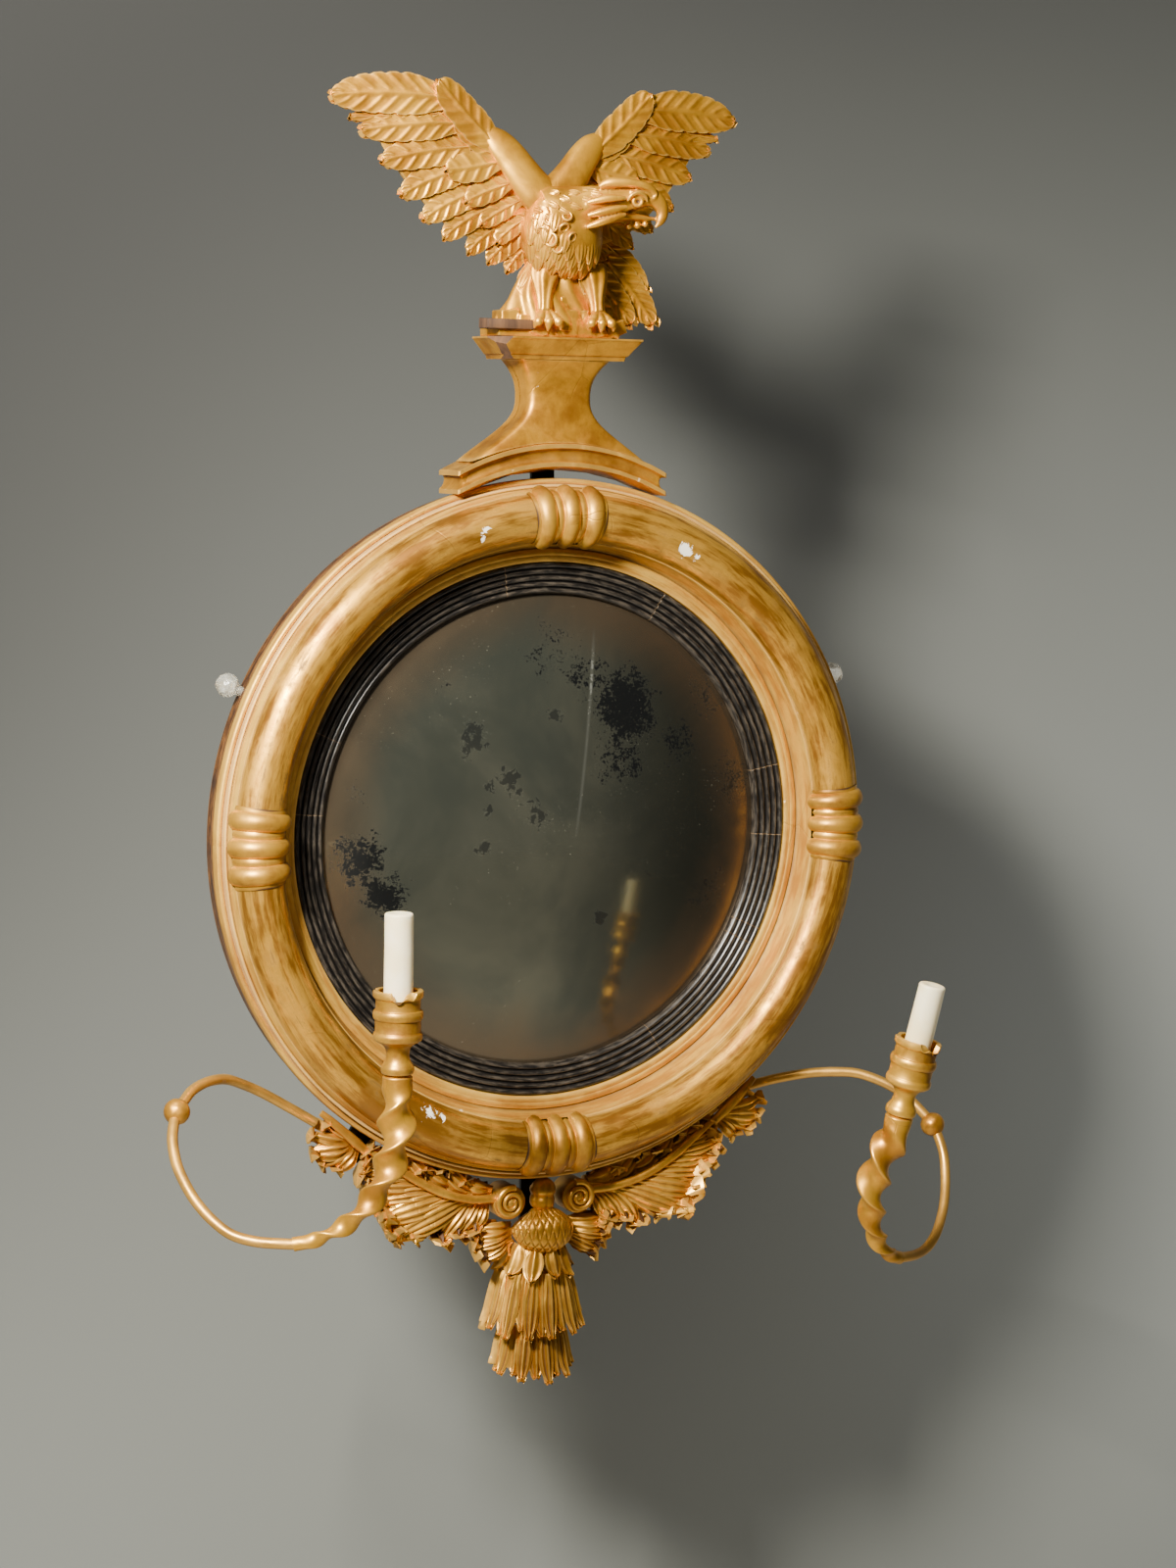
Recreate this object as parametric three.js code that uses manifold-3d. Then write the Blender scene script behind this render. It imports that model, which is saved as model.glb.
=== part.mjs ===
// A convex girandole mirror with an eagle crest, two candle arms and a carved apron.
// Millimetres. X runs to the right, Z up and Y back to the wall, which is the plane y = 0.
// The origin is the middle of the round frame on the wall plane. The profiles below are
// given as [radius, proud], where proud is the distance that a point stands off the wall.

import * as THREE from 'three';
import { mergeVertices } from 'three/addons/utils/BufferGeometryUtils.js';
import Module from 'manifold-3d';

const wasm = await Module();
wasm.setup();

// ---------------------------------------------------------------- driving dimensions

const seat = 0.3;                 // gap left between two pieces that touch
const ringSides = 40;             // facets round the frame

// round frame
const slipOuterRadius = 220;      // outer edge of the ebonised slip
const slipProud = 24;             // how far that edge stands off the wall
const slipWidth = 25.7;           // across its reeds
const slipFall = 5;               // how much deeper its inner edge lies
const reedCount = 5;
const reedHeight = 1.7;
const slipLip = 3.4;              // thickness of its inner edge
const ledgeWidth = 6;             // frame ledge that the slip rests on
const ledgeTop = 14;
const sightBandWidth = 10;        // gilt band round the slip
const sightBandRise = 2.6;
const coveWidth = 7.5;            // hollow between the band and the half-round
const torusSectionRadius = 20;    // the big half-round moulding
const torusSeatProud = 46;        // flat that the half-round is glued on
const torusSunk = 3;              // its section's centre lies this far under the flat
const outerMargin = 10.5;         // from the half-round to the frame's outer edge
const frameBackInset = 3.5;       // the back edge is cut in
const outerBeadProud = 24;        // foot of the bead on the outer edge
const outerBeadWidth = 4;
const outerBeadTall = 12;
const boardThickness = 8.4;
const boardRim = 52.3;            // frame left round the backboard
const glassLap = 9.7;             // glass hidden behind the slip
const glassThickness = 4;
const glassRise = 28;             // how far the convex glass bulges
const glassCaseGap = 0.3;

// clasps over the half-round
const claspRingPitch = 20.5;
const claspRingWidth = 15;
const claspRingProud = 5.2;
const claspNeckProud = 1.8;

// pedestal
const baseHalfWidth = 92;
const baseMouldingHeight = 19;
const baseArchRise = 23;          // how much higher the underside is in the middle
const baseFront = torusSeatProud;   // flush with the flat of the frame
const baseBack = 5;
const coveDepthOnBase = 3.6;
const neckBottomHalfWidth = 78;
const neckWaistHalfWidth = 28;
const neckTopHalfWidth = 41;
const neckWaistHeight = 0.56;     // share of the neck's height
const slabHalfWidth = 64;
const slabUnderHalfWidth = 51.5;
const slabHeight = 17.5;
const slabFillet = 3.2;
const pedestalRise = 112;         // from the frame's outer edge to the slab's top
const slabFront = baseFront + 11;
const slabBack = 3;

// eagle
const eagleAxis = -20;            // the bird stands left of the middle
const wingSpan = 352;
const wingThickness = 7;
const wingFeathers = 7;
const featherScallop = 7;

// arms
const rodRadius = 4.2;
const ballRadius = 10.2;
const hornEndRadius = 5.2;        // radius where the twisted horn starts
const hornFullRadius = 13.6;
const hornHalfTurns = 6;
const hornFlatness = 0.66;        // the twisted section's short radius against its long one
const armSag = 22.4;              // the right arm has dropped by this angle about its root
const seatBentBack = 10;          // and its nozzle has been bent back towards upright by this one
const pinRadius = 3;
const pinLength = 9;
const candleRadius = 11;
const candleShown = [58, 46];     // left and right stub above the rim
const nozzleHeight = 63;
const cupRadius = 17;
const nozzleFootRadius = 12.2;
const cupBoreRadius = 14.6;
const cupBoreDepth = 20;
const candleSocketDepth = 9;
const candleClearance = 0.35;

// straps and screws
const strapThickness = 4;
const strapInset = 0.5;
const strapHalfWidth = 10;
const screwHeadRadius = 3.6;
const screwShankRadius = 1.9;
const screwHeadHeight = 2.2;
const pivotReach = 11;            // the arm's rivet stands this far outside the frame
const rivetRadius = 2.6;
const rivetHeadRadius = 4.4;
const rivetHeadHeight = 1.8;
const tangWidth = 9;
const tangThickness = 3;
const eyeRadius = 6.6;

// ---------------------------------------------------------------- shared tools

const root = new THREE.Group();
const gilt = () => new THREE.MeshStandardMaterial({ color: 0xb98a3c, roughness: 0.38, metalness: 0.85 });
const matteGilt = () => new THREE.MeshStandardMaterial({ color: 0xb07a3a, roughness: 0.55, metalness: 0.6 });
const ebony = () => new THREE.MeshStandardMaterial({ color: 0x14110f, roughness: 0.35, metalness: 0 });
const silvered = () => new THREE.MeshStandardMaterial({ color: 0x5c5a50, roughness: 0.12, metalness: 0.9 });
const pine = () => new THREE.MeshStandardMaterial({ color: 0x7a5a38, roughness: 0.8, metalness: 0 });
const iron = () => new THREE.MeshStandardMaterial({ color: 0x1d1b1a, roughness: 0.6, metalness: 0.8 });
const wax = () => new THREE.MeshStandardMaterial({ color: 0xe8dcb4, roughness: 0.5, metalness: 0 });
const clear = () => new THREE.MeshStandardMaterial({ color: 0xd8d8d0, roughness: 0.1, metalness: 0 });

const at = (x, proud, z) => new THREE.Vector3(x, -proud, z);

function signedVolume(geometry) {
  const index = geometry.index.array;
  const position = geometry.attributes.position;
  const corners = [new THREE.Vector3(), new THREE.Vector3(), new THREE.Vector3()];
  let sum = 0;
  for (let i = 0; i < index.length; i += 3) {
    corners.forEach((corner, k) => corner.fromBufferAttribute(position, index[i + k]));
    sum += corners[0].dot(corners[1].clone().cross(corners[2]));
  }
  return sum / 6;
}

// merges shared corners and turns the faces outwards
function closed(geometry) {
  geometry.deleteAttribute('normal');
  geometry.deleteAttribute('uv');
  const merged = mergeVertices(geometry, 1e-4);
  if (signedVolume(merged) < 0) {
    const index = merged.index.array;
    for (let i = 0; i < index.length; i += 3) {
      [index[i], index[i + 1]] = [index[i + 1], index[i]];
    }
  }
  return merged;
}

function solid(geometry) {
  const merged = closed(geometry);
  return new wasm.Manifold(new wasm.Mesh({
    numProp: 3,
    vertProperties: new Float32Array(merged.attributes.position.array),
    triVerts: new Uint32Array(merged.index.array),
  }));
}

function fromSolid(manifold) {
  const mesh = manifold.getMesh();
  const geometry = new THREE.BufferGeometry();
  geometry.setAttribute('position', new THREE.BufferAttribute(mesh.vertProperties, 3));
  geometry.setIndex(new THREE.BufferAttribute(mesh.triVerts, 1));
  return geometry;
}

const united = (geometries) => fromSolid(geometries.map(solid).reduce((a, b) => a.add(b)));
const cutFrom = (geometry, tools) => fromSolid(
  tools.map(solid).reduce((left, tool) => left.subtract(tool), solid(geometry)),
);

function place(name, geometry, material) {
  const finished = closed(geometry);
  finished.computeVertexNormals();
  const mesh = new THREE.Mesh(finished, material);
  mesh.name = name;
  root.add(mesh);
  return mesh;
}

// a cut can leave slivers behind, which are dropped
const larger = (a, b) => (a.volume() > b.volume() ? a : b);
const largestPiece = (geometry) => fromSolid(solid(geometry).decompose().reduce(larger));

const mirrored = (geometry) => geometry.clone().applyMatrix4(new THREE.Matrix4().makeScale(-1, 1, 1));
const sides = [['left', -1], ['right', 1]];

// a ring turned about the wall axis from a closed [radius, proud] outline
function turned(outline, segments = ringSides) {
  const points = [...outline, outline[0]].map(([r, proud]) => new THREE.Vector2(r, -proud));
  return new THREE.LatheGeometry(points, segments);
}

// a solid between equal loops of points, each loop a front run and a back run
function stacked(loops) {
  const count = loops[0].length;
  const half = count / 2;
  const positions = loops.flat().flatMap((p) => [p.x, p.y, p.z]);
  const index = [];
  const quad = (a, b, c, d) => index.push(a, b, c, a, c, d);
  for (let level = 0; level + 1 < loops.length; level += 1) {
    for (let i = 0; i < count; i += 1) {
      const j = (i + 1) % count;
      quad(level * count + i, level * count + j, (level + 1) * count + j, (level + 1) * count + i);
    }
  }
  const top = (loops.length - 1) * count;
  for (let i = 0; i + 1 < half; i += 1) {
    quad(i, count - 1 - i, count - 2 - i, i + 1);
    quad(top + i, top + i + 1, top + count - 2 - i, top + count - 1 - i);
  }
  const geometry = new THREE.BufferGeometry();
  geometry.setAttribute('position', new THREE.Float32BufferAttribute(positions, 3));
  geometry.setIndex(index);
  return geometry;
}

// a round or shaped body along a curve; section(t) gives {a, b, turn}
function swept(curve, steps, count, section) {
  const frames = curve.computeFrenetFrames(steps, false);
  const loops = [];
  for (let i = 0; i <= steps; i += 1) {
    const t = i / steps;
    const centre = curve.getPointAt(t);
    const { a, b, turn = 0 } = section(t);
    const loop = [];
    for (let k = 0; k < count; k += 1) {
      const angle = (2 * Math.PI * k) / count;
      const u = a * Math.cos(angle);
      const v = b * Math.sin(angle);
      const across = u * Math.cos(turn) - v * Math.sin(turn);
      const up = u * Math.sin(turn) + v * Math.cos(turn);
      const point = centre.clone().addScaledVector(frames.normals[i], across);
      loop.push(point.addScaledVector(frames.binormals[i], up));
    }
    loops.push(loop);
  }
  return stacked(loops);
}

// a carved leaf between two edge curves: the front swells, the back is a keel
function carved(edgeA, edgeB, { along, across, front, back }) {
  const loops = [];
  for (let i = 0; i <= along; i += 1) {
    const u = i / along;
    const a = edgeA(u);
    const b = edgeB(u);
    const run = [];
    for (let k = 0; k <= across; k += 1) {
      run.push([a.clone().lerp(b, k / across), k / across]);
    }
    const face = run.map(([p, v]) => at(p.x, front(u, v), p.y));
    const rear = run.map(([p, v]) => at(p.x, back(u, v), p.y)).reverse();
    loops.push([...face, ...rear]);
  }
  return stacked(loops);
}

const spline2 = (points) => {
  const curve = new THREE.SplineCurve(points.map(([x, z]) => new THREE.Vector2(x, z)));
  return (u) => curve.getPoint(u);
};
const spline3 = (points) => new THREE.CatmullRomCurve3(
  points.map(([x, proud, z]) => at(x, proud, z)), false, 'centripetal',
);
const mix = THREE.MathUtils.lerp;
const smooth = THREE.MathUtils.smoothstep;
const rad = THREE.MathUtils.degToRad;
const polar = (radius, degrees) => [radius * Math.cos(rad(degrees)), radius * Math.sin(rad(degrees))];

// ---------------------------------------------------------------- round frame

const slipInnerRadius = slipOuterRadius - slipWidth;
const bandOuterRadius = slipOuterRadius + sightBandWidth;
const coveFootRadius = bandOuterRadius + 3;
const torusInnerRadius = bandOuterRadius + coveWidth;
const torusCentreRadius = torusInnerRadius + torusSectionRadius;
const torusOuterRadius = torusCentreRadius + torusSectionRadius;
const frameOuterRadius = torusOuterRadius + outerMargin;
const boardRadius = frameOuterRadius - boardRim;
const glassRadius = slipInnerRadius + glassLap;
const slabTop = frameOuterRadius + pedestalRise;
// the carved outlines below are drawn for a frame of this radius and grow with the frame
const frameScale = frameOuterRadius / 288;
const byFrame = (points) => points.map(([x, z]) => [x * frameScale, z * frameScale]);
const torusCentreProud = torusSeatProud - torusSunk;
const rebateTop = boardThickness + 0.6;

function frameOutline() {
  const beadTopRadius = frameOuterRadius - outerBeadWidth;
  const beadTopProud = outerBeadProud + outerBeadTall;
  return [
    [boardRadius + seat, 0],
    [frameOuterRadius - frameBackInset, 0],
    [frameOuterRadius, outerBeadProud],
    [frameOuterRadius - 0.4, beadTopProud - 5],
    [beadTopRadius + 0.4, beadTopProud - 0.6],
    [beadTopRadius - 1, beadTopProud + 0.4],
    [beadTopRadius - 1.6, beadTopProud + 3.6],
    [torusOuterRadius + 1.6, mix(beadTopProud + 4, torusSeatProud, 0.35)],
    [torusOuterRadius + 0.4, torusSeatProud],
    [torusInnerRadius - 0.2, torusSeatProud],
    [torusInnerRadius - 2.6, mix(slipProud, torusSeatProud, 0.55)],
    [coveFootRadius, slipProud + 2],
    [coveFootRadius - 1.6, slipProud + 1],
    [bandOuterRadius - 1, slipProud + sightBandRise + 0.4],
    [slipOuterRadius + 2, slipProud + sightBandRise - 0.4],
    [slipOuterRadius + seat, slipProud],
    [slipOuterRadius + seat, ledgeTop],
    [slipOuterRadius - ledgeWidth, ledgeTop],
    [slipOuterRadius - ledgeWidth, rebateTop],
    [boardRadius + seat, rebateTop],
  ];
}

function torusOutline(extra = 0) {
  const start = Math.asin(torusSunk / torusSectionRadius);
  const steps = 8;
  const outline = [];
  for (let i = 0; i <= steps; i += 1) {
    const angle = mix(start, Math.PI - start, i / steps);
    const radius = torusSectionRadius + extra;
    outline.push([torusCentreRadius + radius * Math.cos(angle), torusCentreProud + radius * Math.sin(angle)]);
  }
  if (extra > 0) {
    outline.unshift([outline[0][0], torusSeatProud - extra]);
    outline.push([outline.at(-1)[0], torusSeatProud - extra]);
  } else {
    outline[0][1] = torusSeatProud + seat;
    outline[steps][1] = torusSeatProud + seat;
  }
  return outline;
}

function slipOutline() {
  const outline = [];
  const reedWidth = slipWidth / reedCount;
  for (let i = 0; i < reedCount; i += 1) {
    const radius = slipOuterRadius - i * reedWidth;
    const proud = slipProud - (slipFall * i) / reedCount;
    const fall = slipFall / reedCount;
    outline.push([radius, proud]);
    outline.push([radius - reedWidth * 0.5, proud - fall * 0.5 + reedHeight]);
  }
  const lipTop = slipProud - slipFall;
  outline.push([slipInnerRadius, lipTop]);
  outline.push([slipInnerRadius, lipTop - slipLip]);
  outline.push([slipInnerRadius + 11, ledgeTop + seat]);
  outline.push([slipOuterRadius, ledgeTop + seat]);
  return outline;
}

// the glass is a shallow cap of a sphere that bears on the slip's inner edge
const glassSphere = (glassRadius ** 2 + glassRise ** 2) / (2 * glassRise);
const domeAt = (r) => Math.sqrt(glassSphere ** 2 - r ** 2) - (glassSphere - glassRise);
const glassEdgeProud = slipProud - slipFall - slipLip - glassCaseGap - domeAt(slipInnerRadius);

function mirrorGlass() {
  const rings = [0, 0.4, 0.75, 1].map((share) => share * glassRadius);
  const front = rings.map((r) => new THREE.Vector2(r, -(glassEdgeProud + domeAt(r))));
  const backProud = (r) => glassEdgeProud - glassThickness + domeAt(r);
  const back = rings.map((r) => new THREE.Vector2(r, -backProud(r))).reverse();
  return new THREE.LatheGeometry([...front, ...back], ringSides);
}

// screws lie along Y with the head towards the wall
function screw(x, z, headProud, length, grow = 0) {
  const profile = [
    [0, headProud], [screwHeadRadius + grow, headProud],
    [screwShankRadius + grow, headProud + screwHeadHeight + grow],
    [screwShankRadius + grow, headProud + length + grow],
    [0, headProud + length + grow],
  ];
  if (grow > 0) {
    profile.splice(0, 1, [0, headProud - 2], [screwHeadRadius + grow, headProud - 2]);
  }
  const outline = profile.map(([r, proud]) => new THREE.Vector2(r, -proud));
  return new THREE.LatheGeometry(outline, 6).translate(x, 0, z);
}
// the same shape, a little larger and open to the wall, cuts its hole
const screwHole = (x, z, headProud, length) => screw(x, z, headProud, length, seat);

const boardScrewCount = 4;
const boardScrewCircle = boardRadius - 8;
const boardScrewLength = 14;
const boardScrewHead = 0.4;       // the heads stand a little under the surface
const strapScrewLength = 16;
const strapScrewHead = strapInset + 0.3;
const boardScrewSpots = Array.from(
  { length: boardScrewCount },
  (_, i) => polar(boardScrewCircle, 45 + (360 * i) / boardScrewCount),
);

function box(halfX, lowProud, highProud, lowZ, highZ) {
  const geometry = new THREE.BoxGeometry(2 * halfX, highProud - lowProud, highZ - lowZ);
  return geometry.translate(0, -(lowProud + highProud) / 2, (lowZ + highZ) / 2);
}

// flat iron straps let into the back of the frame; each runs out along a radius
const strapAngles = { crest: 90, apron: -90, left: -122, right: -58 };
const strapOverhang = { crest: 58, apron: 62, left: 23, right: 23 };
const strapScrewRadius = frameOuterRadius - 26;
const strapInner = frameOuterRadius - 39;
const pivotRadius = frameOuterRadius + pivotReach;

function strapBlank(name, grow = 0) {
  const reach = frameOuterRadius + strapOverhang[name] + grow;
  const [low, high] = [strapInset - grow * 4, strapInset + strapThickness + grow];
  const blank = box(strapHalfWidth + grow, low, high, strapInner - grow, reach);
  return blank.rotateY(rad(90 - strapAngles[name]));
}
const strapNames = Object.keys(strapAngles);
const strapScrewSpots = Object.fromEntries(
  strapNames.map((name) => [name, polar(strapScrewRadius, strapAngles[name])]),
);

// hanging plate: an iron plate with a keyhole, let into the back above the board
const plateHalfWidth = 20;
const plateAngle = 60;
const plateMiddle = frameOuterRadius - 27;
const plateHalfHeight = 14;
function hangerPlate(angle, grow = 0) {
  const [low, high] = [strapInset - grow * 4, strapInset + strapThickness + grow];
  const halfHeight = plateHalfHeight + grow;
  const blank = box(plateHalfWidth + grow, low, high, plateMiddle - halfHeight, plateMiddle + halfHeight);
  return blank.rotateY(rad(90 - angle));
}
const hangerAngles = { left: 180 - plateAngle, right: plateAngle };
const hangerNailRadius = 4.5;
const hangerPitch = 18;           // between the nail hole and the screw
const hangerSpot = (angle, along) => {
  const [x, z] = polar(plateMiddle, angle);
  return [x + Math.sin(rad(angle)) * along, z - Math.cos(rad(angle)) * along];
};
const hangerScrewSpot = (angle) => hangerSpot(angle, hangerPitch / 2);
const nailHoleDepth = 13;
function nailHole(angle) {
  const [x, z] = hangerSpot(angle, -hangerPitch / 2);
  return new THREE.CylinderGeometry(hangerNailRadius, hangerNailRadius, nailHoleDepth + 1, 10)
    .translate(x, (1 - nailHoleDepth) / 2, z);
}

function frameRing() {
  const hollows = strapNames.map((name) => strapBlank(name, seat));
  hollows.push(...Object.values(hangerAngles).map((angle) => hangerPlate(angle, seat)));
  hollows.push(...Object.values(hangerAngles).map((angle) => nailHole(angle)));
  const screws = [
    ...boardScrewSpots.map(([x, z]) => screwHole(x, z, boardScrewHead, boardScrewLength)),
    ...strapNames.map((name) => screwHole(...strapScrewSpots[name], strapScrewHead, strapScrewLength)),
    ...Object.values(hangerAngles)
      .map((angle) => screwHole(...hangerScrewSpot(angle), strapScrewHead, strapScrewLength)),
  ];
  return cutFrom(turned(frameOutline()), [...hollows, ...screws]);
}

place('frame_ring', frameRing(), matteGilt());
place('torus_moulding', turned(torusOutline()), gilt());
place('ebonised_slip', turned(slipOutline()), ebony());
place('mirror_plate', mirrorGlass(), silvered());

function backboard() {
  const profile = [[0, 0], [boardRadius, 0], [boardRadius, boardThickness], [0, boardThickness]]
    .map(([r, proud]) => new THREE.Vector2(r, -proud));
  const disc = new THREE.LatheGeometry(profile, ringSides);
  return cutFrom(disc, boardScrewSpots.map(([x, z]) => screwHole(x, z, boardScrewHead, boardScrewLength)));
}
place('backboard', backboard(), pine());
boardScrewSpots.forEach(([x, z], i) => {
  place(`backboard_screw_${i + 1}`, screw(x, z, boardScrewHead, boardScrewLength), iron());
});
Object.entries(hangerAngles).forEach(([side, angle]) => {
  const spot = hangerScrewSpot(angle);
  const hole = screwHole(...spot, strapScrewHead, strapScrewLength);
  place(`hanging_plate_${side}`, cutFrom(hangerPlate(angle), [nailHole(angle), hole]), iron());
  place(`hanging_plate_screw_${side}`, screw(...spot, strapScrewHead, strapScrewLength), iron());
});

// ---------------------------------------------------------------- clasps

// three beads across the half-round; the profile runs along the moulding
function claspProfile() {
  const ringHalf = claspRingWidth / 2;
  const stations = [[-claspRingPitch - ringHalf - 3, 0.2]];
  for (const ring of [-1, 0, 1]) {
    const middle = ring * claspRingPitch;
    stations.push([middle - ringHalf, claspNeckProud]);
    stations.push([middle - ringHalf * 0.5, claspRingProud]);
    stations.push([middle + ringHalf * 0.5, claspRingProud]);
    stations.push([middle + ringHalf, claspNeckProud]);
  }
  stations.push([claspRingPitch + ringHalf + 3, 0.2]);
  return stations;
}

function clasp(angle) {
  const around = 7;
  const low = rad(-2);
  const loops = claspProfile().map(([along, proud]) => {
    const turn = rad(angle) + along / torusCentreRadius;
    const loop = (radius) => Array.from({ length: around + 1 }, (_, k) => {
      const bend = mix(low, Math.PI - low, k / around);
      const r = torusCentreRadius + radius * Math.cos(bend);
      const lift = Math.max(torusCentreProud + radius * Math.sin(bend), torusSeatProud + seat);
      return at(r * Math.cos(turn), lift, r * Math.sin(turn));
    });
    return [...loop(torusSectionRadius + seat + 0.6 + proud), ...loop(torusSectionRadius - 6).reverse()];
  });
  return cutFrom(stacked(loops), [turned(torusOutline(seat))]);
}
const claspAngles = { top: 90, left: 180, bottom: -90, right: 0 };
Object.entries(claspAngles).forEach(([where, angle]) => place(`clasp_${where}`, clasp(angle), gilt()));

// ---------------------------------------------------------------- pedestal

const baseEndUnder = Math.sqrt((frameOuterRadius + 0.8 + seat) ** 2 - baseHalfWidth ** 2);
const archRadius = (baseHalfWidth ** 2 + baseArchRise ** 2) / (2 * baseArchRise);
const archCentre = baseEndUnder + baseArchRise - archRadius;
const archAt = (x) => archCentre + Math.sqrt(archRadius ** 2 - Math.min(Math.abs(x), archRadius) ** 2);

function rectLoop(low, high, back, front, count, height) {
  const run = Array.from({ length: count + 1 }, (_, k) => mix(low, high, k / count));
  const face = run.map((x) => at(x, front(x), height(x)));
  const rear = run.map((x) => at(x, back(x), height(x))).reverse();
  return [...face, ...rear];
}

function pedestalBase() {
  const levels = [[0, 0], [0.2, 0], [0.28, 0.55], [0.5, 1], [0.72, 0.8], [0.8, 0], [1, 0]];
  const loops = levels.map(([share, cove]) => {
    const half = baseHalfWidth - coveDepthOnBase * cove;
    const front = () => baseFront - coveDepthOnBase * cove;
    return rectLoop(-half, half, () => baseBack, front, 8, (x) => archAt(x) + baseMouldingHeight * share);
  });
  return cutFrom(stacked(loops), [strapBlank('crest', seat)]);
}
place('pedestal_base', pedestalBase(), gilt());

const slabBottom = slabTop - slabHeight;
function pedestalNeck() {
  const levels = 8;
  const loops = [];
  for (let i = 0; i <= levels; i += 1) {
    const t = i / levels;
    const below = Math.min(t / neckWaistHeight, 1);
    const above = Math.max((t - neckWaistHeight) / (1 - neckWaistHeight), 0);
    const flare = (1 - below) ** 2.6;
    const spread = above ** 2.4;
    const half = neckWaistHalfWidth + (neckBottomHalfWidth - neckWaistHalfWidth) * flare
      + (neckTopHalfWidth - neckWaistHalfWidth) * spread;
    const face = mix(baseFront - 7, baseFront - 4, flare) + 8 * spread;
    const rear = mix(9, baseBack + 1, flare);
    const height = (x) => mix(archAt(x) + baseMouldingHeight + 2 * seat, slabBottom - seat, t);
    const round = (x) => face - 4 * (Math.abs(x) / half) ** 4;
    loops.push(rectLoop(-half, half, () => rear, round, 6, height));
  }
  return cutFrom(stacked(loops), [strapBlank('crest', seat)]);
}
place('pedestal_neck', pedestalNeck(), gilt());

function pedestalSlab() {
  const levels = [
    [0, 0], [slabFillet, 0.06], [slabFillet + 0.6, 0.16], [slabHeight - 1.5, 0.94], [slabHeight, 1],
  ];
  const loops = levels.map(([rise, share]) => {
    const half = mix(slabUnderHalfWidth, slabHalfWidth, share);
    const front = mix(slabFront - 9, slabFront, share);
    return rectLoop(-half, half, () => slabBack, () => front, 2, () => slabBottom + rise);
  });
  return stacked(loops);
}
place('pedestal_slab', pedestalSlab(), gilt());

// a rivet on the strap, with its head in front of the arm's eye
function withPivot(strap, angle) {
  const [x, z] = polar(pivotRadius, angle);
  const front = strapInset + strapThickness + seat + tangThickness + seat;
  const shank = new THREE.CylinderGeometry(rivetRadius, rivetRadius, front - strapInset, 12)
    .translate(x, -(front + strapInset + 1) / 2, z);
  const head = new THREE.CylinderGeometry(rivetHeadRadius, rivetHeadRadius, rivetHeadHeight, 12)
    .translate(x, -(front + rivetHeadHeight / 2), z);
  return united([strap, shank, head]);
}

// the screw of each strap holds it to the frame
strapNames.forEach((name) => {
  const spot = strapScrewSpots[name];
  const holes = [screwHole(...spot, strapScrewHead, strapScrewLength)];
  let strap = cutFrom(strapBlank(name), holes);
  if (name === 'left' || name === 'right') {
    strap = withPivot(strap, strapAngles[name]);
  }
  place(`${name}_strap`, strap, iron());
  place(`${name}_strap_screw`, screw(...spot, strapScrewHead, strapScrewLength), iron());
});

// ---------------------------------------------------------------- eagle

// the bird's routes are [right of its axis, proud, above the slab], drawn for this span
const birdScale = wingSpan / 352;
const bird = (points) => points.map(([x, proud, rise]) => [
  eagleAxis + x * birdScale, proud * birdScale, slabTop + rise * birdScale,
]);

// ledges of rock under its feet: left end, right end, back, front, swing of the front, height and its swing
const rockLedges = [
  [-50, 76, 9, 50, 0, 0, 0],
  [-53, 78, 8, 51, 2, 6.5, 0],
  [-51, 76, 9, 48, -2, 10.4, 0],
  [-26, 66, 12, 45, 2, 13, 2],
  [-16, 54, 16, 40, -2, 24, 2],
];
function rock() {
  const loops = rockLedges.map(([low, high, back, front, swing, rise, roll]) => {
    const face = (x) => (front + swing * Math.sin(x / (9 * birdScale))) * birdScale;
    const height = (x) => slabTop + seat + (rise + roll * Math.cos(x / (12 * birdScale))) * birdScale;
    const [left, right] = [low, high].map((x) => eagleAxis + x * birdScale);
    return rectLoop(left, right, () => back * birdScale, face, 6, height);
  });
  return stacked(loops);
}
place('rock', rock(), gilt());
const breastRoute = [[20, 30, 52], [19, 38, 66], [13, 47, 84], [8, 53, 100], [10, 56, 116]];
const breastRadii = [14, 25, 30, 33, 33.5, 33, 31, 26, 18, 6];
const neckRoute = [[0, 52, 93], [22, 60, 101], [44, 67, 105.5], [62, 72, 107.5], [74, 75, 107],
  [84, 77, 105.5], [92, 78, 100], [88, 78, 92]];
const lowerBillRoute = [[58, 71, 101], [74, 74, 97.5], [83, 76, 96.5]];
const breastDepth = 0.78;         // its depth against its width
const neckDepth = 0.9;

function eagleBody() {
  const levels = breastRadii.length - 1;
  const breast = swept(spline3(bird(breastRoute)), levels, 8, (t) => {
    const size = breastRadii[Math.round(t * levels)] * birdScale;
    return { a: size, b: size * breastDepth };
  });
  const neck = swept(spline3(bird(neckRoute)), 13, 7, (t) => {
    const head = mix(25, 12.5, smooth(t, 0, 0.45)) - 8.6 * smooth(t, 0.58, 0.8) - 2.8 * smooth(t, 0.85, 1);
    return { a: head * birdScale, b: head * birdScale * neckDepth };
  });
  const lowerBill = swept(spline3(bird(lowerBillRoute)), 4, 6, (t) => ({
    a: mix(6.5, 1.6, t) * birdScale,
    b: mix(4.5, 1.2, t) * birdScale,
  }));
  return united([breast, neck, lowerBill]);
}
place('eagle_body', eagleBody(), gilt());

// edges of the wing and tail as [from the bird's axis, above the slab]
const birdEdge = (points) => spline2(points.map(([x, rise]) => [x * birdScale, slabTop + rise * birdScale]));
const leadingEdge = birdEdge([[8, 116], [42, 156], [67, 178], [92, 192], [126, 201], [156, 197], [176, 183]]);
const trailingEdge = birdEdge([[20, 52], [57, 64], [82, 83], [109, 104], [135, 132], [152, 154], [170, 170]]);

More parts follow.
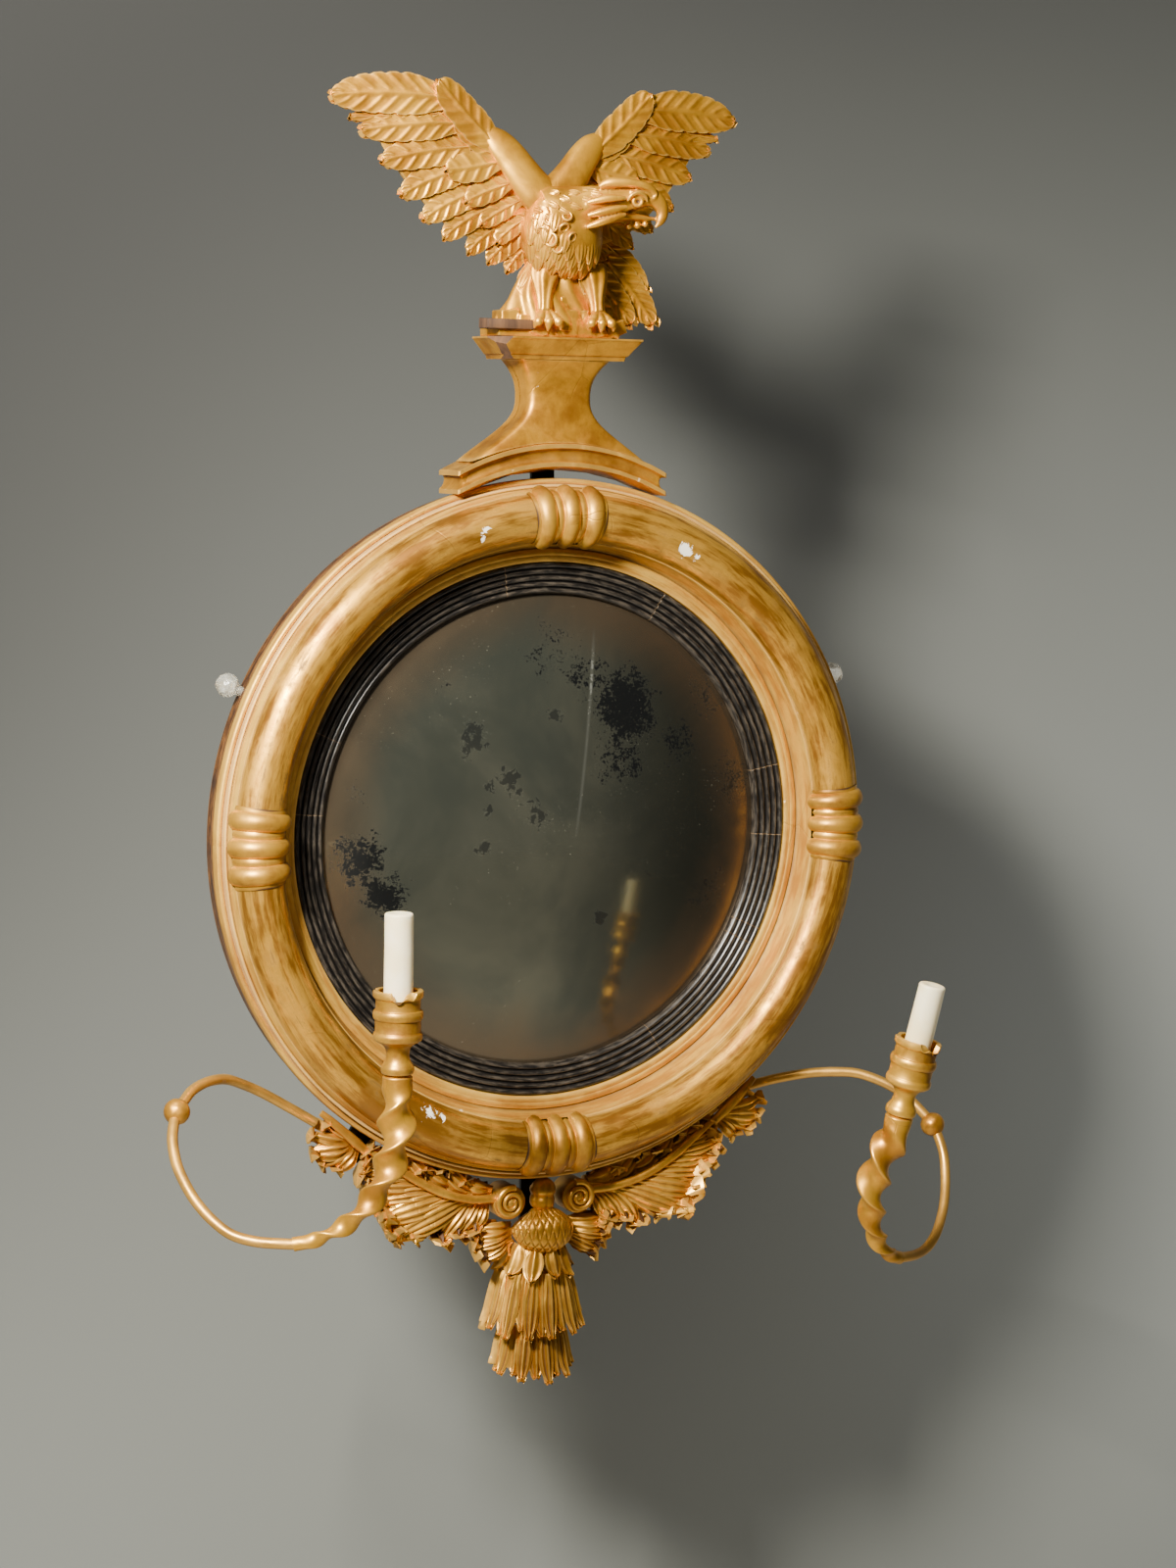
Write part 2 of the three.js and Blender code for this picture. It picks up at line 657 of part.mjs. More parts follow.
function wing() {
  const along = wingFeathers * 3;
  const scalloped = (u) => {
    const point = trailingEdge(u);
    const lobe = Math.abs(Math.sin(Math.PI * wingFeathers * u)) ** 0.6;
    const out = featherScallop * birdScale * lobe * Math.min(1, 3 * (1 - u) + 0.4);
    return point.clone().add(new THREE.Vector2(out * 0.35, -out * 0.9));
  };
  const middle = (u, v) => (mix(40, 24, u ** 0.7) + 8 * Math.sin(Math.PI * u) - 12 * v * (1 - u)) * birdScale;
  const thick = (v) => mix(wingThickness * 1.9, wingThickness * 0.45, v ** 0.6);
  return carved(leadingEdge, scalloped, {
    along,
    across: 3,
    front: (u, v) => middle(u, v) + thick(v) / 2,
    back: (u, v) => middle(u, v) - thick(v) / 2,
  });
}

function wingOn(side) {
  const shape = side < 0 ? mirrored(wing()) : wing();
  return shape.translate(eagleAxis, 0, 0);
}
const bodySolid = root.getObjectByName('eagle_body').geometry;
const grown = (geometry, centre, factor) => geometry.clone().translate(-centre.x, -centre.y, -centre.z)
  .scale(factor, factor, factor).translate(centre.x, centre.y, centre.z);
const bodyCentre = at(...bird([[12, 50, 90]])[0]);
const bodyRoom = 1.012;           // leaves a hair's gap between the body and what it carries
sides.forEach(([side, sign]) => {
  const clear = cutFrom(wingOn(sign), [grown(bodySolid, bodyCentre, bodyRoom)]);
  place(`wing_${side}`, largestPiece(clear), gilt());
});

function tail() {
  const upper = birdEdge([[30, 78], [66, 62], [88, 46], [112, 16]]);
  const lower = birdEdge([[22, 58], [44, 36], [58, 23], [79, 15]]);
  const shape = carved(upper, lower, {
    along: 6,
    across: 4,
    front: (u, v) => (mix(24, 20, u) + 1.2 * Math.cos(4 * Math.PI * v)) * birdScale,
    back: (u) => mix(15, 12, u) * birdScale,
  });
  return shape.translate(eagleAxis, 0, 0);
}
const tailRoom = [grown(bodySolid, bodyCentre, bodyRoom), grownRock(seat)];
place('tail', largestPiece(cutFrom(tail(), tailRoom)), gilt());

function grownRock(gap) {
  return rock().translate(0, -gap, gap);
}

// a leg at x from the bird's axis: a feathered thigh and three toes that grip the rock
function leg(x, lean) {
  const ankle = x + lean;
  const thighRoute = [[x - lean, 42, 49.6], [x, 46, 38.6], [ankle, 52, 19]];
  const thigh = swept(spline3(bird(thighRoute)), 5, 7, (t) => ({
    a: mix(12.5, 5.2, t ** 0.7) * birdScale,
    b: mix(11, 5, t ** 0.7) * birdScale,
  }));
  const toes = [-1, 0, 1].map((k) => {
    const knuckle = [ankle + 7 * k, 55.5 - Math.abs(k), 16];
    const claw = [ankle + 11 * k, 56.5 - 2 * Math.abs(k), 4.5];
    return swept(spline3(bird([[ankle, 50, 21], knuckle, claw])), 3, 5, (t) => ({
      a: mix(4.4, 2.2, t) * birdScale,
      b: mix(4.2, 2.2, t) * birdScale,
    }));
  });
  return united([thigh, ...toes]);
}
const legPlaces = { left: [2, -3], right: [42, 2] };
Object.entries(legPlaces).forEach(([side, [x, lean]]) => {
  const room = [grown(bodySolid, bodyCentre, bodyRoom), rock().translate(0, -seat, seat), rock()];
  place(`leg_${side}`, largestPiece(cutFrom(leg(x, lean), room)), gilt());
});

// ---------------------------------------------------------------- apron

const carvingBack = strapInset + strapThickness + seat;
const huskBack = carvingBack + 6;
const voluteRadius = 16;
const [voluteX, voluteZ] = byFrame([[31, -307]])[0];
const voluteTurns = 1.6;
const carvingMiddle = 33;

// the edge of a leaf pushed out in rounded lobes
const lobed = (edge, count, size, outward) => (u) => {
  const lobe = Math.abs(Math.sin(Math.PI * count * u)) ** 0.7 * size;
  return edge(u).clone().addScaledVector(outward, lobe);
};
const keel = (front, thin) => (u, v) => mix(carvingBack, front(u, v) - thin, Math.abs(2 * v - 1) ** 1.6);
const swell = (base, rise, ribs) => (u, v) => (
  base + rise * Math.sin(Math.PI * v) + ribs * Math.cos(4 * Math.PI * v)
);

// outlines as [x, z]; the tip leaf starts where the spray ends
const sprayStart = voluteX + voluteRadius + seat;
const fromVolute = (z) => [sprayStart, z * frameScale];
const sprayTop = [fromVolute(-292.5), ...byFrame([[70, -292], [100, -280.5], [125, -265], [146, -256]])];
const sprayFoot = [fromVolute(-318), ...byFrame([[70, -326], [100, -328], [130, -325], [146, -300]])];
const [sprayEndTop, sprayEndFoot] = byFrame([[156, -256], [160, -272]]);
function spray() {
  const upper = lobed(spline2([...sprayTop, sprayEndTop]), 3, 2.5, new THREE.Vector2(-0.3, 0.4));
  const lower = lobed(spline2([...sprayFoot, sprayEndFoot]), 6, 8, new THREE.Vector2(0.35, -0.8));
  const front = (u, v) => swell(26, 7, 1.2)(u, v) + 3 * Math.sin(3 * Math.PI * u);
  return carved(upper, lower, { along: 18, across: 4, front, back: keel(front, 6) });
}

const tipLeafBack = 18;           // leaves room for the arm's rod behind it
const beside = ([x, z]) => [x + seat, z];
const tipTop = [beside(sprayEndTop), ...byFrame([[178, -244], [190, -230], [197, -220]])];
const tipFoot = [beside(sprayEndFoot), ...byFrame([[184, -264], [199, -251], [205, -238]])];
function tipLeaf() {
  const upper = lobed(spline2(tipTop), 2, 2, new THREE.Vector2(-0.2, 0.6));
  const lower = lobed(spline2(tipFoot), 3, 6, new THREE.Vector2(0.7, -0.6));
  const front = swell(25, 6, 1);
  const back = (u, v) => mix(tipLeafBack, front(u, v) - 6, Math.abs(2 * v - 1));
  return carved(upper, lower, { along: 9, across: 4, front, back });
}

function volute() {
  const disc = new THREE.CylinderGeometry(voluteRadius - 2, voluteRadius - 2, carvingMiddle - carvingBack, 12)
    .translate(voluteX, -(carvingMiddle + carvingBack) / 2, voluteZ);
  const eye = new THREE.SphereGeometry(5, 8, 5).scale(1, 0.7, 1).translate(voluteX, -carvingMiddle, voluteZ);
  const steps = 16;
  const spiral = Array.from({ length: steps + 1 }, (_, i) => {
    const t = i / steps;
    const radius = mix(voluteRadius - 2.4, 7, t);
    const angle = rad(60) - 2 * Math.PI * voluteTurns * t;
    return [voluteX + radius * Math.cos(angle), carvingMiddle + 2 * t, voluteZ + radius * Math.sin(angle)];
  });
  const scroll = swept(spline3(spiral), steps, 5, (t) => ({ a: mix(3, 2, t), b: mix(3.6, 2.4, t) }));
  return united([disc, eye, scroll]);
}

sides.forEach(([side, sign]) => {
  const onSide = (geometry) => (sign < 0 ? mirrored(geometry) : geometry);
  place(`apron_spray_${side}`, onSide(spray()), gilt());
  place(`apron_tip_leaf_${side}`, onSide(tipLeaf()), gilt());
  place(`volute_${side}`, onSide(volute()), gilt());
});

// a lobed bell, flat against the wall side: rows are [height, half width, proud]
function husk(rows, lobes, depth, ragged) {
  const around = lobes * 2;
  const loops = rows.map(([z, half, proud], row) => {
    const share = row / (rows.length - 1);
    const face = Array.from({ length: around + 1 }, (_, k) => {
      const bend = Math.PI * (1 - k / around);
      const lobe = 1 - depth * share * (k % 2 === 0 ? 1 : 0);
      const drop = ragged * share * (k % 2 === 0 ? 1 : 0);
      const out = huskBack + (proud - huskBack) * lobe * Math.sin(bend);
      return at(half * lobe * Math.cos(bend), out, z + drop);
    });
    const rear = Array.from({ length: around + 1 }, (_, k) => {
      const x = half * Math.cos(Math.PI * (1 - k / around));
      return at(x, carvingBack, z);
    }).reverse();
    return [...face, ...rear];
  });
  return stacked(loops);
}

// heights of the pieces that hang under one another
const [budTop, domeTop, domeBottom, collarBottom, upperDropBottom, lowerDropBottom] = [
  -289.6, -317.3, -348, -372, -423, -461,
].map((z) => z * frameScale);
const domeHalf = 27 * frameScale;
const hung = (rows) => rows.map(([z, half, proud]) => [z, half * frameScale, proud]);
const hangs = (name, rows, lobes, depth, droop) => place(name, husk(rows, lobes, depth, droop), gilt());
hangs('centre_bud', hung([
  [budTop, 4, 26], [budTop - 5, 9, 36], [budTop - 14, 11, 40], [budTop - 24, 10.5, 38], [domeTop + seat, 6, 30],
]), 4, 0.12, 0);
hangs('pineapple_dome', [
  ...hung([[domeTop, 10, 34], [domeTop - 7, 20, 44]]), [domeTop - 16, domeHalf, 50],
  ...hung([[domeTop - 25, 25, 47], [domeBottom, 17, 36]]),
], 6, 0, 0);
hangs('leaf_collar', hung([
  [domeBottom - seat, 15, 34], [domeBottom - 5, 27, 44], [domeBottom - 14, 33, 46], [collarBottom, 33, 44],
]), 5, 0.16, 5);
hangs('upper_drop', hung([
  [collarBottom - seat, 27, 34], [collarBottom - 10, 35, 42], [collarBottom - 28, 43, 46], [upperDropBottom, 45, 46],
]), 7, 0.14, 9);
hangs('lower_drop', hung([
  [upperDropBottom - seat, 24, 32], [upperDropBottom - 10, 30, 38], [upperDropBottom - 24, 35, 41],
  [lowerDropBottom, 31, 38],
]), 6, 0.14, 8);

// the fan of three lobes starts at the dome's side
const fromDome = (z) => [domeHalf + seat, z * frameScale];
const fanTop = [fromDome(-326), ...byFrame([[40, -330], [52, -332], [60, -335]])];
const fanFoot = [fromDome(-342), ...byFrame([[36, -352], [48, -354], [62, -345]])];
function sideFan() {
  const upper = lobed(spline2(fanTop), 1, 1, new THREE.Vector2(0, 1));
  const lower = lobed(spline2(fanFoot), 3, 5, new THREE.Vector2(0.5, -0.8));
  const front = swell(27, 6, 1);
  return carved(upper, lower, { along: 9, across: 4, front, back: keel(front, 6) });
}
sides.forEach(([side, sign]) => {
  place(`side_fan_${side}`, sign < 0 ? mirrored(sideFan()) : sideFan(), gilt());
});

// ---------------------------------------------------------------- candle arms

// the rod leaves its pivot behind the leaves, curls out and forward, and comes back low in front
const onArm = (points) => points.map(([x, proud, z]) => [x * frameScale, proud, z * frameScale]);
const rodRoute = onArm([
  [195, 9, -231], [244, 19, -201], [281, 37, -184], [316, 64, -184.5], [336.5, 87, -195.5],
  [347, 113, -221], [340, 147, -253], [321, 171, -273], [290, 190, -278], [272, 198, -277],
]);
const ballStop = 4;                // the ball sits on this point of the route
const rodSteps = 32;
const hornRoute = onArm([
  [281, 194.5, -278.3], [247, 208, -265], [220, 214, -235], [207.4, 214, -198], [206.7, 213, -151],
]);
const hornSteps = 30;
const sagAxis = new THREE.Vector3(0.666, 0.746, 0).normalize();
const sagBy = (angle) => new THREE.Quaternion().setFromAxisAngle(sagAxis, rad(angle));

const [rootX, rootProud, rootZ] = rodRoute[0];
const armRoot = at(rootX, rootProud, rootZ);
const fromRoot = (route) => route.map(([x, proud, z]) => [x - rootX, proud - rootProud, z - rootZ]);

function rodCurve() {
  return spline3(fromRoot(rodRoute));
}
const rodSweep = (radius) => swept(rodCurve(), rodSteps, 6, () => ({ a: radius, b: radius }));

// the inner end is beaten flat, with an eye that turns on the strap's rivet
function tang() {
  const [pivotX, pivotZ] = polar(pivotRadius, strapAngles.right);
  const [dx, dz] = [pivotX - rootX, pivotZ - rootZ];
  const reach = Math.hypot(dx, dz);
  const outline = new THREE.Shape();
  const half = tangWidth / 2;
  const lift = Math.asin(half / eyeRadius);
  outline.moveTo(3, -half);
  outline.lineTo(3, half);
  outline.lineTo(-reach + eyeRadius * Math.cos(lift), half);
  outline.absarc(-reach, 0, eyeRadius, lift, 2 * Math.PI - lift, false);
  outline.closePath();
  const hole = new THREE.Path();
  hole.absarc(-reach, 0, rivetRadius + seat, 0, 2 * Math.PI, true);
  outline.holes.push(hole);
  const bar = new THREE.ExtrudeGeometry(outline, {
    depth: tangThickness, bevelEnabled: false, curveSegments: 8,
  });
  const slope = Math.atan2(-dz, -dx);
  return bar.rotateX(Math.PI / 2).rotateY(-slope).translate(0, rootProud - carvingBack, 0);
}

const armRod = (flat) => united([rodSweep(rodRadius), flat]);

function rodBall() {
  const centre = fromRoot(rodRoute)[ballStop];
  const ball = new THREE.SphereGeometry(ballRadius, 10, 7).rotateX(Math.PI / 2)
    .translate(centre[0], -centre[1], centre[2]);
  return cutFrom(ball, [rodSweep(rodRadius + seat)]);
}

// the wooden horn is a flattened section that turns as it grows; the rod plugs into its thin end
const [topX, topProud, topZ] = fromRoot(hornRoute).at(-1);
const hornTop = at(topX, topProud, topZ);
const hornEndLength = 13;
function horn(seatTurn) {
  const before = new THREE.Vector3(0, 0, -hornEndLength).applyQuaternion(seatTurn).add(hornTop);
  const route = fromRoot(hornRoute);
  route.splice(-1, 0, [before.x, -before.y, before.z]);
  const body = swept(spline3(route), hornSteps, 7, (t) => {
    const swelling = mix(hornEndRadius, hornFullRadius, smooth(t, 0, 0.75));
    const top = smooth(t, 0.88, 1);
    const long = mix(swelling, hornFullRadius * 0.86, top);
    const flatness = mix(hornFlatness, 0.98, Math.max(top, 1 - smooth(t, 0, 0.12)));
    return { a: long, b: long * flatness, turn: Math.PI * hornHalfTurns * t };
  });
  const pin = new THREE.CylinderGeometry(pinRadius, pinRadius, pinLength + 4, 8).rotateX(Math.PI / 2)
    .translate(0, 0, (pinLength - 4) / 2).applyQuaternion(seatTurn).translate(...hornTop.toArray());
  return largestPiece(cutFrom(united([body, pin]), [rodSweep(rodRadius + seat)]));
}

function nozzle() {
  const below = (r, drop) => [r, nozzleHeight - drop];
  const socketRadius = candleRadius + candleClearance;
  const outer = [
    [cupRadius + 1.8, 4], [cupRadius, 6.5], [cupRadius, 15], [cupRadius + 1.7, 17], [cupRadius + 1.7, 20.5],
    [cupRadius, 22.5], [cupRadius + 0.2, 31.5], [cupRadius + 1.5, 33.5], [cupRadius + 1.2, 36.5],
    [cupRadius - 6.5, 41], [cupRadius - 8.4, 45], [cupRadius - 8.1, 51], [nozzleFootRadius, 58],
    [nozzleFootRadius, 61.5],
  ];
  const profile = [
    below(0, cupBoreDepth + candleSocketDepth), below(socketRadius, cupBoreDepth + candleSocketDepth),
    below(socketRadius, cupBoreDepth), below(cupBoreRadius, cupBoreDepth),
    below(cupBoreRadius, 0), below(cupRadius + 1.6, 0),
    ...outer.map(([r, drop]) => below(r, drop)),
    [nozzleFootRadius - 0.7, seat], [pinRadius + seat, seat], [pinRadius + seat, pinLength + seat],
    [0, pinLength + seat],
  ].map(([r, height]) => new THREE.Vector2(r, height));
  return new THREE.LatheGeometry(profile, 12).rotateX(Math.PI / 2);
}

function candle(shown) {
  const foot = nozzleHeight - cupBoreDepth - candleSocketDepth + seat;
  const top = nozzleHeight + shown;
  const profile = [
    [0, foot], [candleRadius, foot], [candleRadius, top - 2], [candleRadius - 1.6, top],
    [candleRadius * 0.27, top - 1.2], [0, top - 1.6],
  ].map(([r, height]) => new THREE.Vector2(r, height));
  return new THREE.LatheGeometry(profile, 12).rotateX(Math.PI / 2);
}

sides.forEach(([side, sign], i) => {
  const onSide = (geometry) => (sign < 0 ? mirrored(geometry) : geometry);
  const sag = sagBy(sign < 0 ? 0 : armSag);
  const seatTurn = sagBy(sign < 0 ? 0 : -seatBentBack);
  const onHorn = (geometry) => geometry.applyQuaternion(seatTurn).translate(...hornTop.toArray());
  const arm = new THREE.Group();
  arm.position.set(sign * armRoot.x, armRoot.y, armRoot.z);
  arm.quaternion.copy(sag);
  root.add(arm);
  // the tang stays flat on its strap whatever the arm's sag
  const flat = tang().applyQuaternion(sag.clone().invert());
  const add = (name, geometry, material) => arm.add(place(name, onSide(geometry), material));
  add(`arm_rod_${side}`, armRod(flat), gilt());
  add(`rod_ball_${side}`, rodBall(), gilt());
  add(`twisted_horn_${side}`, horn(seatTurn), gilt());
  add(`nozzle_${side}`, onHorn(nozzle()), gilt());
  add(`candle_${side}`, onHorn(candle(candleShown[i])), wax());
});

// ---------------------------------------------------------------- side knobs

// two small clear knobs stand out of the frame's side near its back
const knobRadius = 9.5;
const knobLength = 25;
const knobStemRadius = 4.5;
const knobSunk = 5;                // of its stem's end, cut to the rim's curve
const knobProud = 11;
const knobAngle = 24.5;
function sideKnob() {
  const profile = [
    [0, 0], [knobStemRadius, 0], [knobStemRadius, knobLength * 0.36], [knobRadius * 0.75, knobLength * 0.48],
    [knobRadius, knobLength * 0.68], [knobRadius * 0.9, knobLength * 0.84],
    [knobRadius * 0.53, knobLength * 0.98], [0, knobLength],
  ].map(([r, out]) => new THREE.Vector2(r, out));
  const axisToX = new THREE.Matrix4().makeBasis(at(0, -1, 0), at(1, 0, 0), at(0, 0, -1));
  const knob = new THREE.LatheGeometry(profile, 8).translate(0, frameOuterRadius - knobSunk, 0)
    .applyMatrix4(axisToX);
  knob.rotateY(-rad(knobAngle)).translate(0, -knobProud, 0);
  const ring = turned(frameOutline());
  const room = 1 + seat / frameOuterRadius;
  return largestPiece(cutFrom(knob, [ring.scale(room, 1, room)]));
}
sides.forEach(([side, sign]) => {
  place(`side_knob_${side}`, sign < 0 ? mirrored(sideKnob()) : sideKnob(), clear());
});

export default root;
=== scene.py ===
"""Girandole mirror: convex foxed glass, ebonised slip, gilt half-round frame, eagle crest,
two candle arms and a carved apron. Metres; millimetre values are turned with mm()."""
import math
import random
from contextlib import contextmanager

import bpy
from mathutils import Matrix, Vector, noise


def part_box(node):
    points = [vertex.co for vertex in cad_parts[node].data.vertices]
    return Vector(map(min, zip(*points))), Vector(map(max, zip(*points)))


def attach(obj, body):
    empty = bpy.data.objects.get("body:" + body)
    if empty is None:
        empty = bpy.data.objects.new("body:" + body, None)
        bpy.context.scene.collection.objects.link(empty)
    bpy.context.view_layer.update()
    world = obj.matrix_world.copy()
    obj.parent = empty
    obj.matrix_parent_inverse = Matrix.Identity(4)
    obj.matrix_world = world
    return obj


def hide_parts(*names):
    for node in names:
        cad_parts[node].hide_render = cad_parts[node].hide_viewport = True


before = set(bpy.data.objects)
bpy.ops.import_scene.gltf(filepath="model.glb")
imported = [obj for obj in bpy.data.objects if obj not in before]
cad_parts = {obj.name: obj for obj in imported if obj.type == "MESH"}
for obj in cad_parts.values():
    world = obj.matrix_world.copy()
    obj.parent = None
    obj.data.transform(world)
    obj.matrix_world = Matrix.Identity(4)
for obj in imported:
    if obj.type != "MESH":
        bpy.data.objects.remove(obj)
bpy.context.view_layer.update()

# ------------------------------------------------------------------ sizes, millimetres

SLIP_OUTER = 220.0
SLIP_INNER = 194.3
SLIP_FRONT = 24.0
REEDS = 5
TORUS_CENTRE = 257.5
TORUS_RADIUS = 20.0
TORUS_MIDDLE = 43.0        # distance of its section's centre from the wall
FRAME_FRONT = 46.0
RING_STEPS = 224           # faces round the frame
GLASS_RADIUS = 204.0
GLASS_RISE = 28.0
GLASS_THICK = 4.0
EAGLE_AXIS = -20.0
CARVING_BACK = 5.0
STRAP_ANGLES = (90, -90, -122, -58)
PIVOT = Vector((158.4, 4.8, -253.6))     # where the right arm turns on its strap
ARM_ROOT = Vector((195.0, -9.0, -231.0))
SAG_AXIS = Vector((0.666, 0.746, 0.0)).normalized()
SAG = 22.4                 # degrees that the right arm has dropped
SEAT_BENT_BACK = 10.0      # degrees that its nozzle leans back again


def mm(*values):
    return Vector(values) * 0.001


def at(x, proud, z):
    """A point given by how far it stands off the wall."""
    return Vector((x, -proud, z)) * 0.001


def mix(a, b, t):
    return a + (b - a) * t


def smooth(t, low, high):
    t = min(max((t - low) / (high - low), 0.0), 1.0)
    return t * t * (3 - 2 * t)


def spline(points, t):
    """A smooth curve through points of any dimension, t from 0 to 1."""
    count = len(points) - 1
    place = min(max(t, 0.0), 1.0) * count
    i = min(int(place), count - 1)
    u = place - i
    p0, p1, p2, p3 = (Vector(points[min(max(k, 0), count)]) for k in (i - 1, i, i + 1, i + 2))
    return 0.5 * (2 * p1 + (p2 - p0) * u + (2 * p0 - 5 * p1 + 4 * p2 - p3) * u ** 2
                  + (3 * p1 - p0 - 3 * p2 + p3) * u ** 3)


# ------------------------------------------------------------------ modelling helpers

def deselect():
    if bpy.context.mode != "OBJECT":
        bpy.ops.object.mode_set(mode="OBJECT")
    bpy.ops.object.select_all(action="DESELECT")


def take(piece):
    """Selects one piece alone."""
    deselect()
    piece.select_set(True)
    bpy.context.view_layer.objects.active = piece


def named(name):
    piece = bpy.context.active_object
    piece.name = name
    piece.data.name = name
    return piece


def settle(piece):
    """Puts the piece's place into its mesh."""
    take(piece)
    bpy.ops.object.transform_apply(location=True, rotation=True, scale=True)


@contextmanager
def all_in_edit(piece):
    """Edit mode on one piece, with all of it selected."""
    take(piece)
    bpy.ops.object.mode_set(mode="EDIT")
    bpy.ops.mesh.select_all(action="SELECT")
    yield
    bpy.ops.object.mode_set(mode="OBJECT")


def face_outwards():
    bpy.ops.mesh.select_all(action="SELECT")
    bpy.ops.mesh.normals_make_consistent(inside=False)


def turn_over(piece):
    with all_in_edit(piece):
        bpy.ops.mesh.flip_normals()


def tidy_faces(piece, doubles=1e-5):
    with all_in_edit(piece):
        bpy.ops.mesh.remove_doubles(threshold=doubles)
        bpy.ops.mesh.delete_loose(use_verts=True, use_edges=True, use_faces=False)
        face_outwards()


def apply_modifier(piece, kind, **values):
    take(piece)
    modifier = piece.modifiers.new(kind.title(), kind)
    for key, value in values.items():
        setattr(modifier, key, value)
    bpy.ops.object.modifier_apply(modifier=modifier.name)


def soften(piece, angle=35):
    take(piece)
    bpy.ops.object.shade_smooth_by_angle(angle=math.radians(angle))


def joined(name, pieces):
    deselect()
    for piece in pieces:
        piece.select_set(True)
    bpy.context.view_layer.objects.active = pieces[0]
    if len(pieces) > 1:
        bpy.ops.object.join()
    return named(name)


def copy_of(piece, name, matrix=None):
    """A copy with its own mesh, moved by the matrix; a mirrored one is turned face out."""
    twin = piece.copy()
    twin.data = piece.data.copy()
    twin.name = name
    bpy.context.collection.objects.link(twin)
    if matrix is not None:
        twin.data.transform(matrix)
        if matrix.determinant() < 0:
            turn_over(twin)
    return twin


MIRROR_X = Matrix.Diagonal((-1, 1, 1, 1))


def spin_round(name, outline, axis, steps, angle):
    """Spins a closed outline of points about an axis through the origin."""
    deselect()
    bpy.ops.mesh.primitive_circle_add(vertices=len(outline), radius=0.01)
    piece = named(name)
    for vertex, point in zip(piece.data.vertices, outline):
        vertex.co = point
    with all_in_edit(piece):
        bpy.ops.mesh.spin(steps=steps, angle=math.tau, center=(0, 0, 0), axis=axis)
    tidy_faces(piece)
    soften(piece, angle)
    return piece


def spun(name, outline, steps=128, angle=40):
    """A ring turned about the wall axis; outline is closed, as (radius, proud) in millimetres."""
    return spin_round(name, [at(radius, proud, 0) for radius, proud in outline], (0, 1, 0), steps, angle)


def turned_up(name, outline, steps=40, angle=40):
    """A piece turned about an upright axis at the origin; outline as (radius, height)."""
    return spin_round(name, [mm(radius, 0, height) for radius, height in outline], (0, 0, 1), steps, angle)


def bent_grid(name, across, along, place, wrap=False, closed=False):
    """A grid bent to shape: place(u, v) gives each point, u along and v across, both 0 to 1.
    wrap joins v = 0 to v = 1, and closed fills the two open ends."""
    deselect()
    bpy.ops.mesh.primitive_grid_add(x_subdivisions=across, y_subdivisions=along, size=1)
    piece = named(name)
    for vertex in piece.data.vertices:
        vertex.co = place(vertex.co.y + 0.5, vertex.co.x + 0.5)
    if wrap or closed:
        with all_in_edit(piece):
            bpy.ops.mesh.remove_doubles(threshold=2e-6)
            if closed:
                bpy.ops.mesh.select_all(action="DESELECT")
                bpy.ops.mesh.select_non_manifold()
                bpy.ops.mesh.fill_holes(sides=0)
            face_outwards()
    return piece


def tube(name, points, radii, sides=16, smoothing=8):
    """A rod along a smooth route; radii is one radius or one for each point, in millimetres."""
    deselect()
    bpy.ops.curve.primitive_nurbs_path_add()
    piece = named(name)
    curve = piece.data
    curve.splines.clear()
    steps = (len(points) - 1) * smoothing
    route = curve.splines.new("POLY")
    route.points.add(steps)
    sizes = radii if isinstance(radii, (list, tuple)) else [radii] * len(points)
    for i, point in enumerate(route.points):
        where = spline(points, i / steps)
        point.co = (*at(*where), 1)
        point.radius = spline([(r,) * 3 for r in sizes], i / steps)[0]
    curve.bevel_depth = 0.001
    curve.bevel_resolution = max(sides // 4 - 1, 1)
    curve.use_fill_caps = True
    curve.twist_mode = "MINIMUM"
    take(piece)
    bpy.ops.object.convert(target="MESH")
    piece = named(name)
    settle(piece)
    tidy_faces(piece)
    soften(piece, 50)
    return piece


def thickened(piece, thickness, angle=40, levels=0):
    """Faces an open sheet to the front and gives it a thickness behind."""
    with all_in_edit(piece):
        face_outwards()
    if sum(face.normal.y * face.area for face in piece.data.polygons) > 0:
        turn_over(piece)
    apply_modifier(piece, "SOLIDIFY", thickness=thickness * 0.001, offset=-1.0, use_even_offset=False)
    if levels:
        apply_modifier(piece, "SUBSURF", levels=levels, render_levels=levels)
    soften(piece, angle)
    return piece


def travel(route, steps, upright):
    """Stops along a smooth route: the point, two cross directions that don't twist, and the share gone."""
    points = [Vector(spline(route, i / steps)) for i in range(steps + 1)]
    lengths = [0.0]
    for a, b in zip(points, points[1:]):
        lengths.append(lengths[-1] + (b - a).length)
    up = Vector(upright)
    stops = []
    for i, point in enumerate(points):
        ahead = (points[min(i + 1, steps)] - points[max(i - 1, 0)]).normalized()
        up = (up - ahead * up.dot(ahead)).normalized()
        stops.append((point, up.copy(), ahead.cross(up).normalized(), lengths[i] / lengths[-1]))
    return stops


# ------------------------------------------------------------------ finishes

def group(name, inputs, outputs):
    """An empty shader node group with named sockets."""
    tree = bpy.data.node_groups.new(name, "ShaderNodeTree")
    kinds = {"f": "NodeSocketFloat", "c": "NodeSocketColor", "v": "NodeSocketVector"}
    for socket, kind, value in inputs:
        made = tree.interface.new_socket(socket, in_out="INPUT", socket_type=kinds[kind])
        if value is not None:
            made.default_value = value
    for socket, kind in outputs:
        tree.interface.new_socket(socket, in_out="OUTPUT", socket_type=kinds[kind])
    return tree, tree.nodes.new("NodeGroupInput"), tree.nodes.new("NodeGroupOutput")


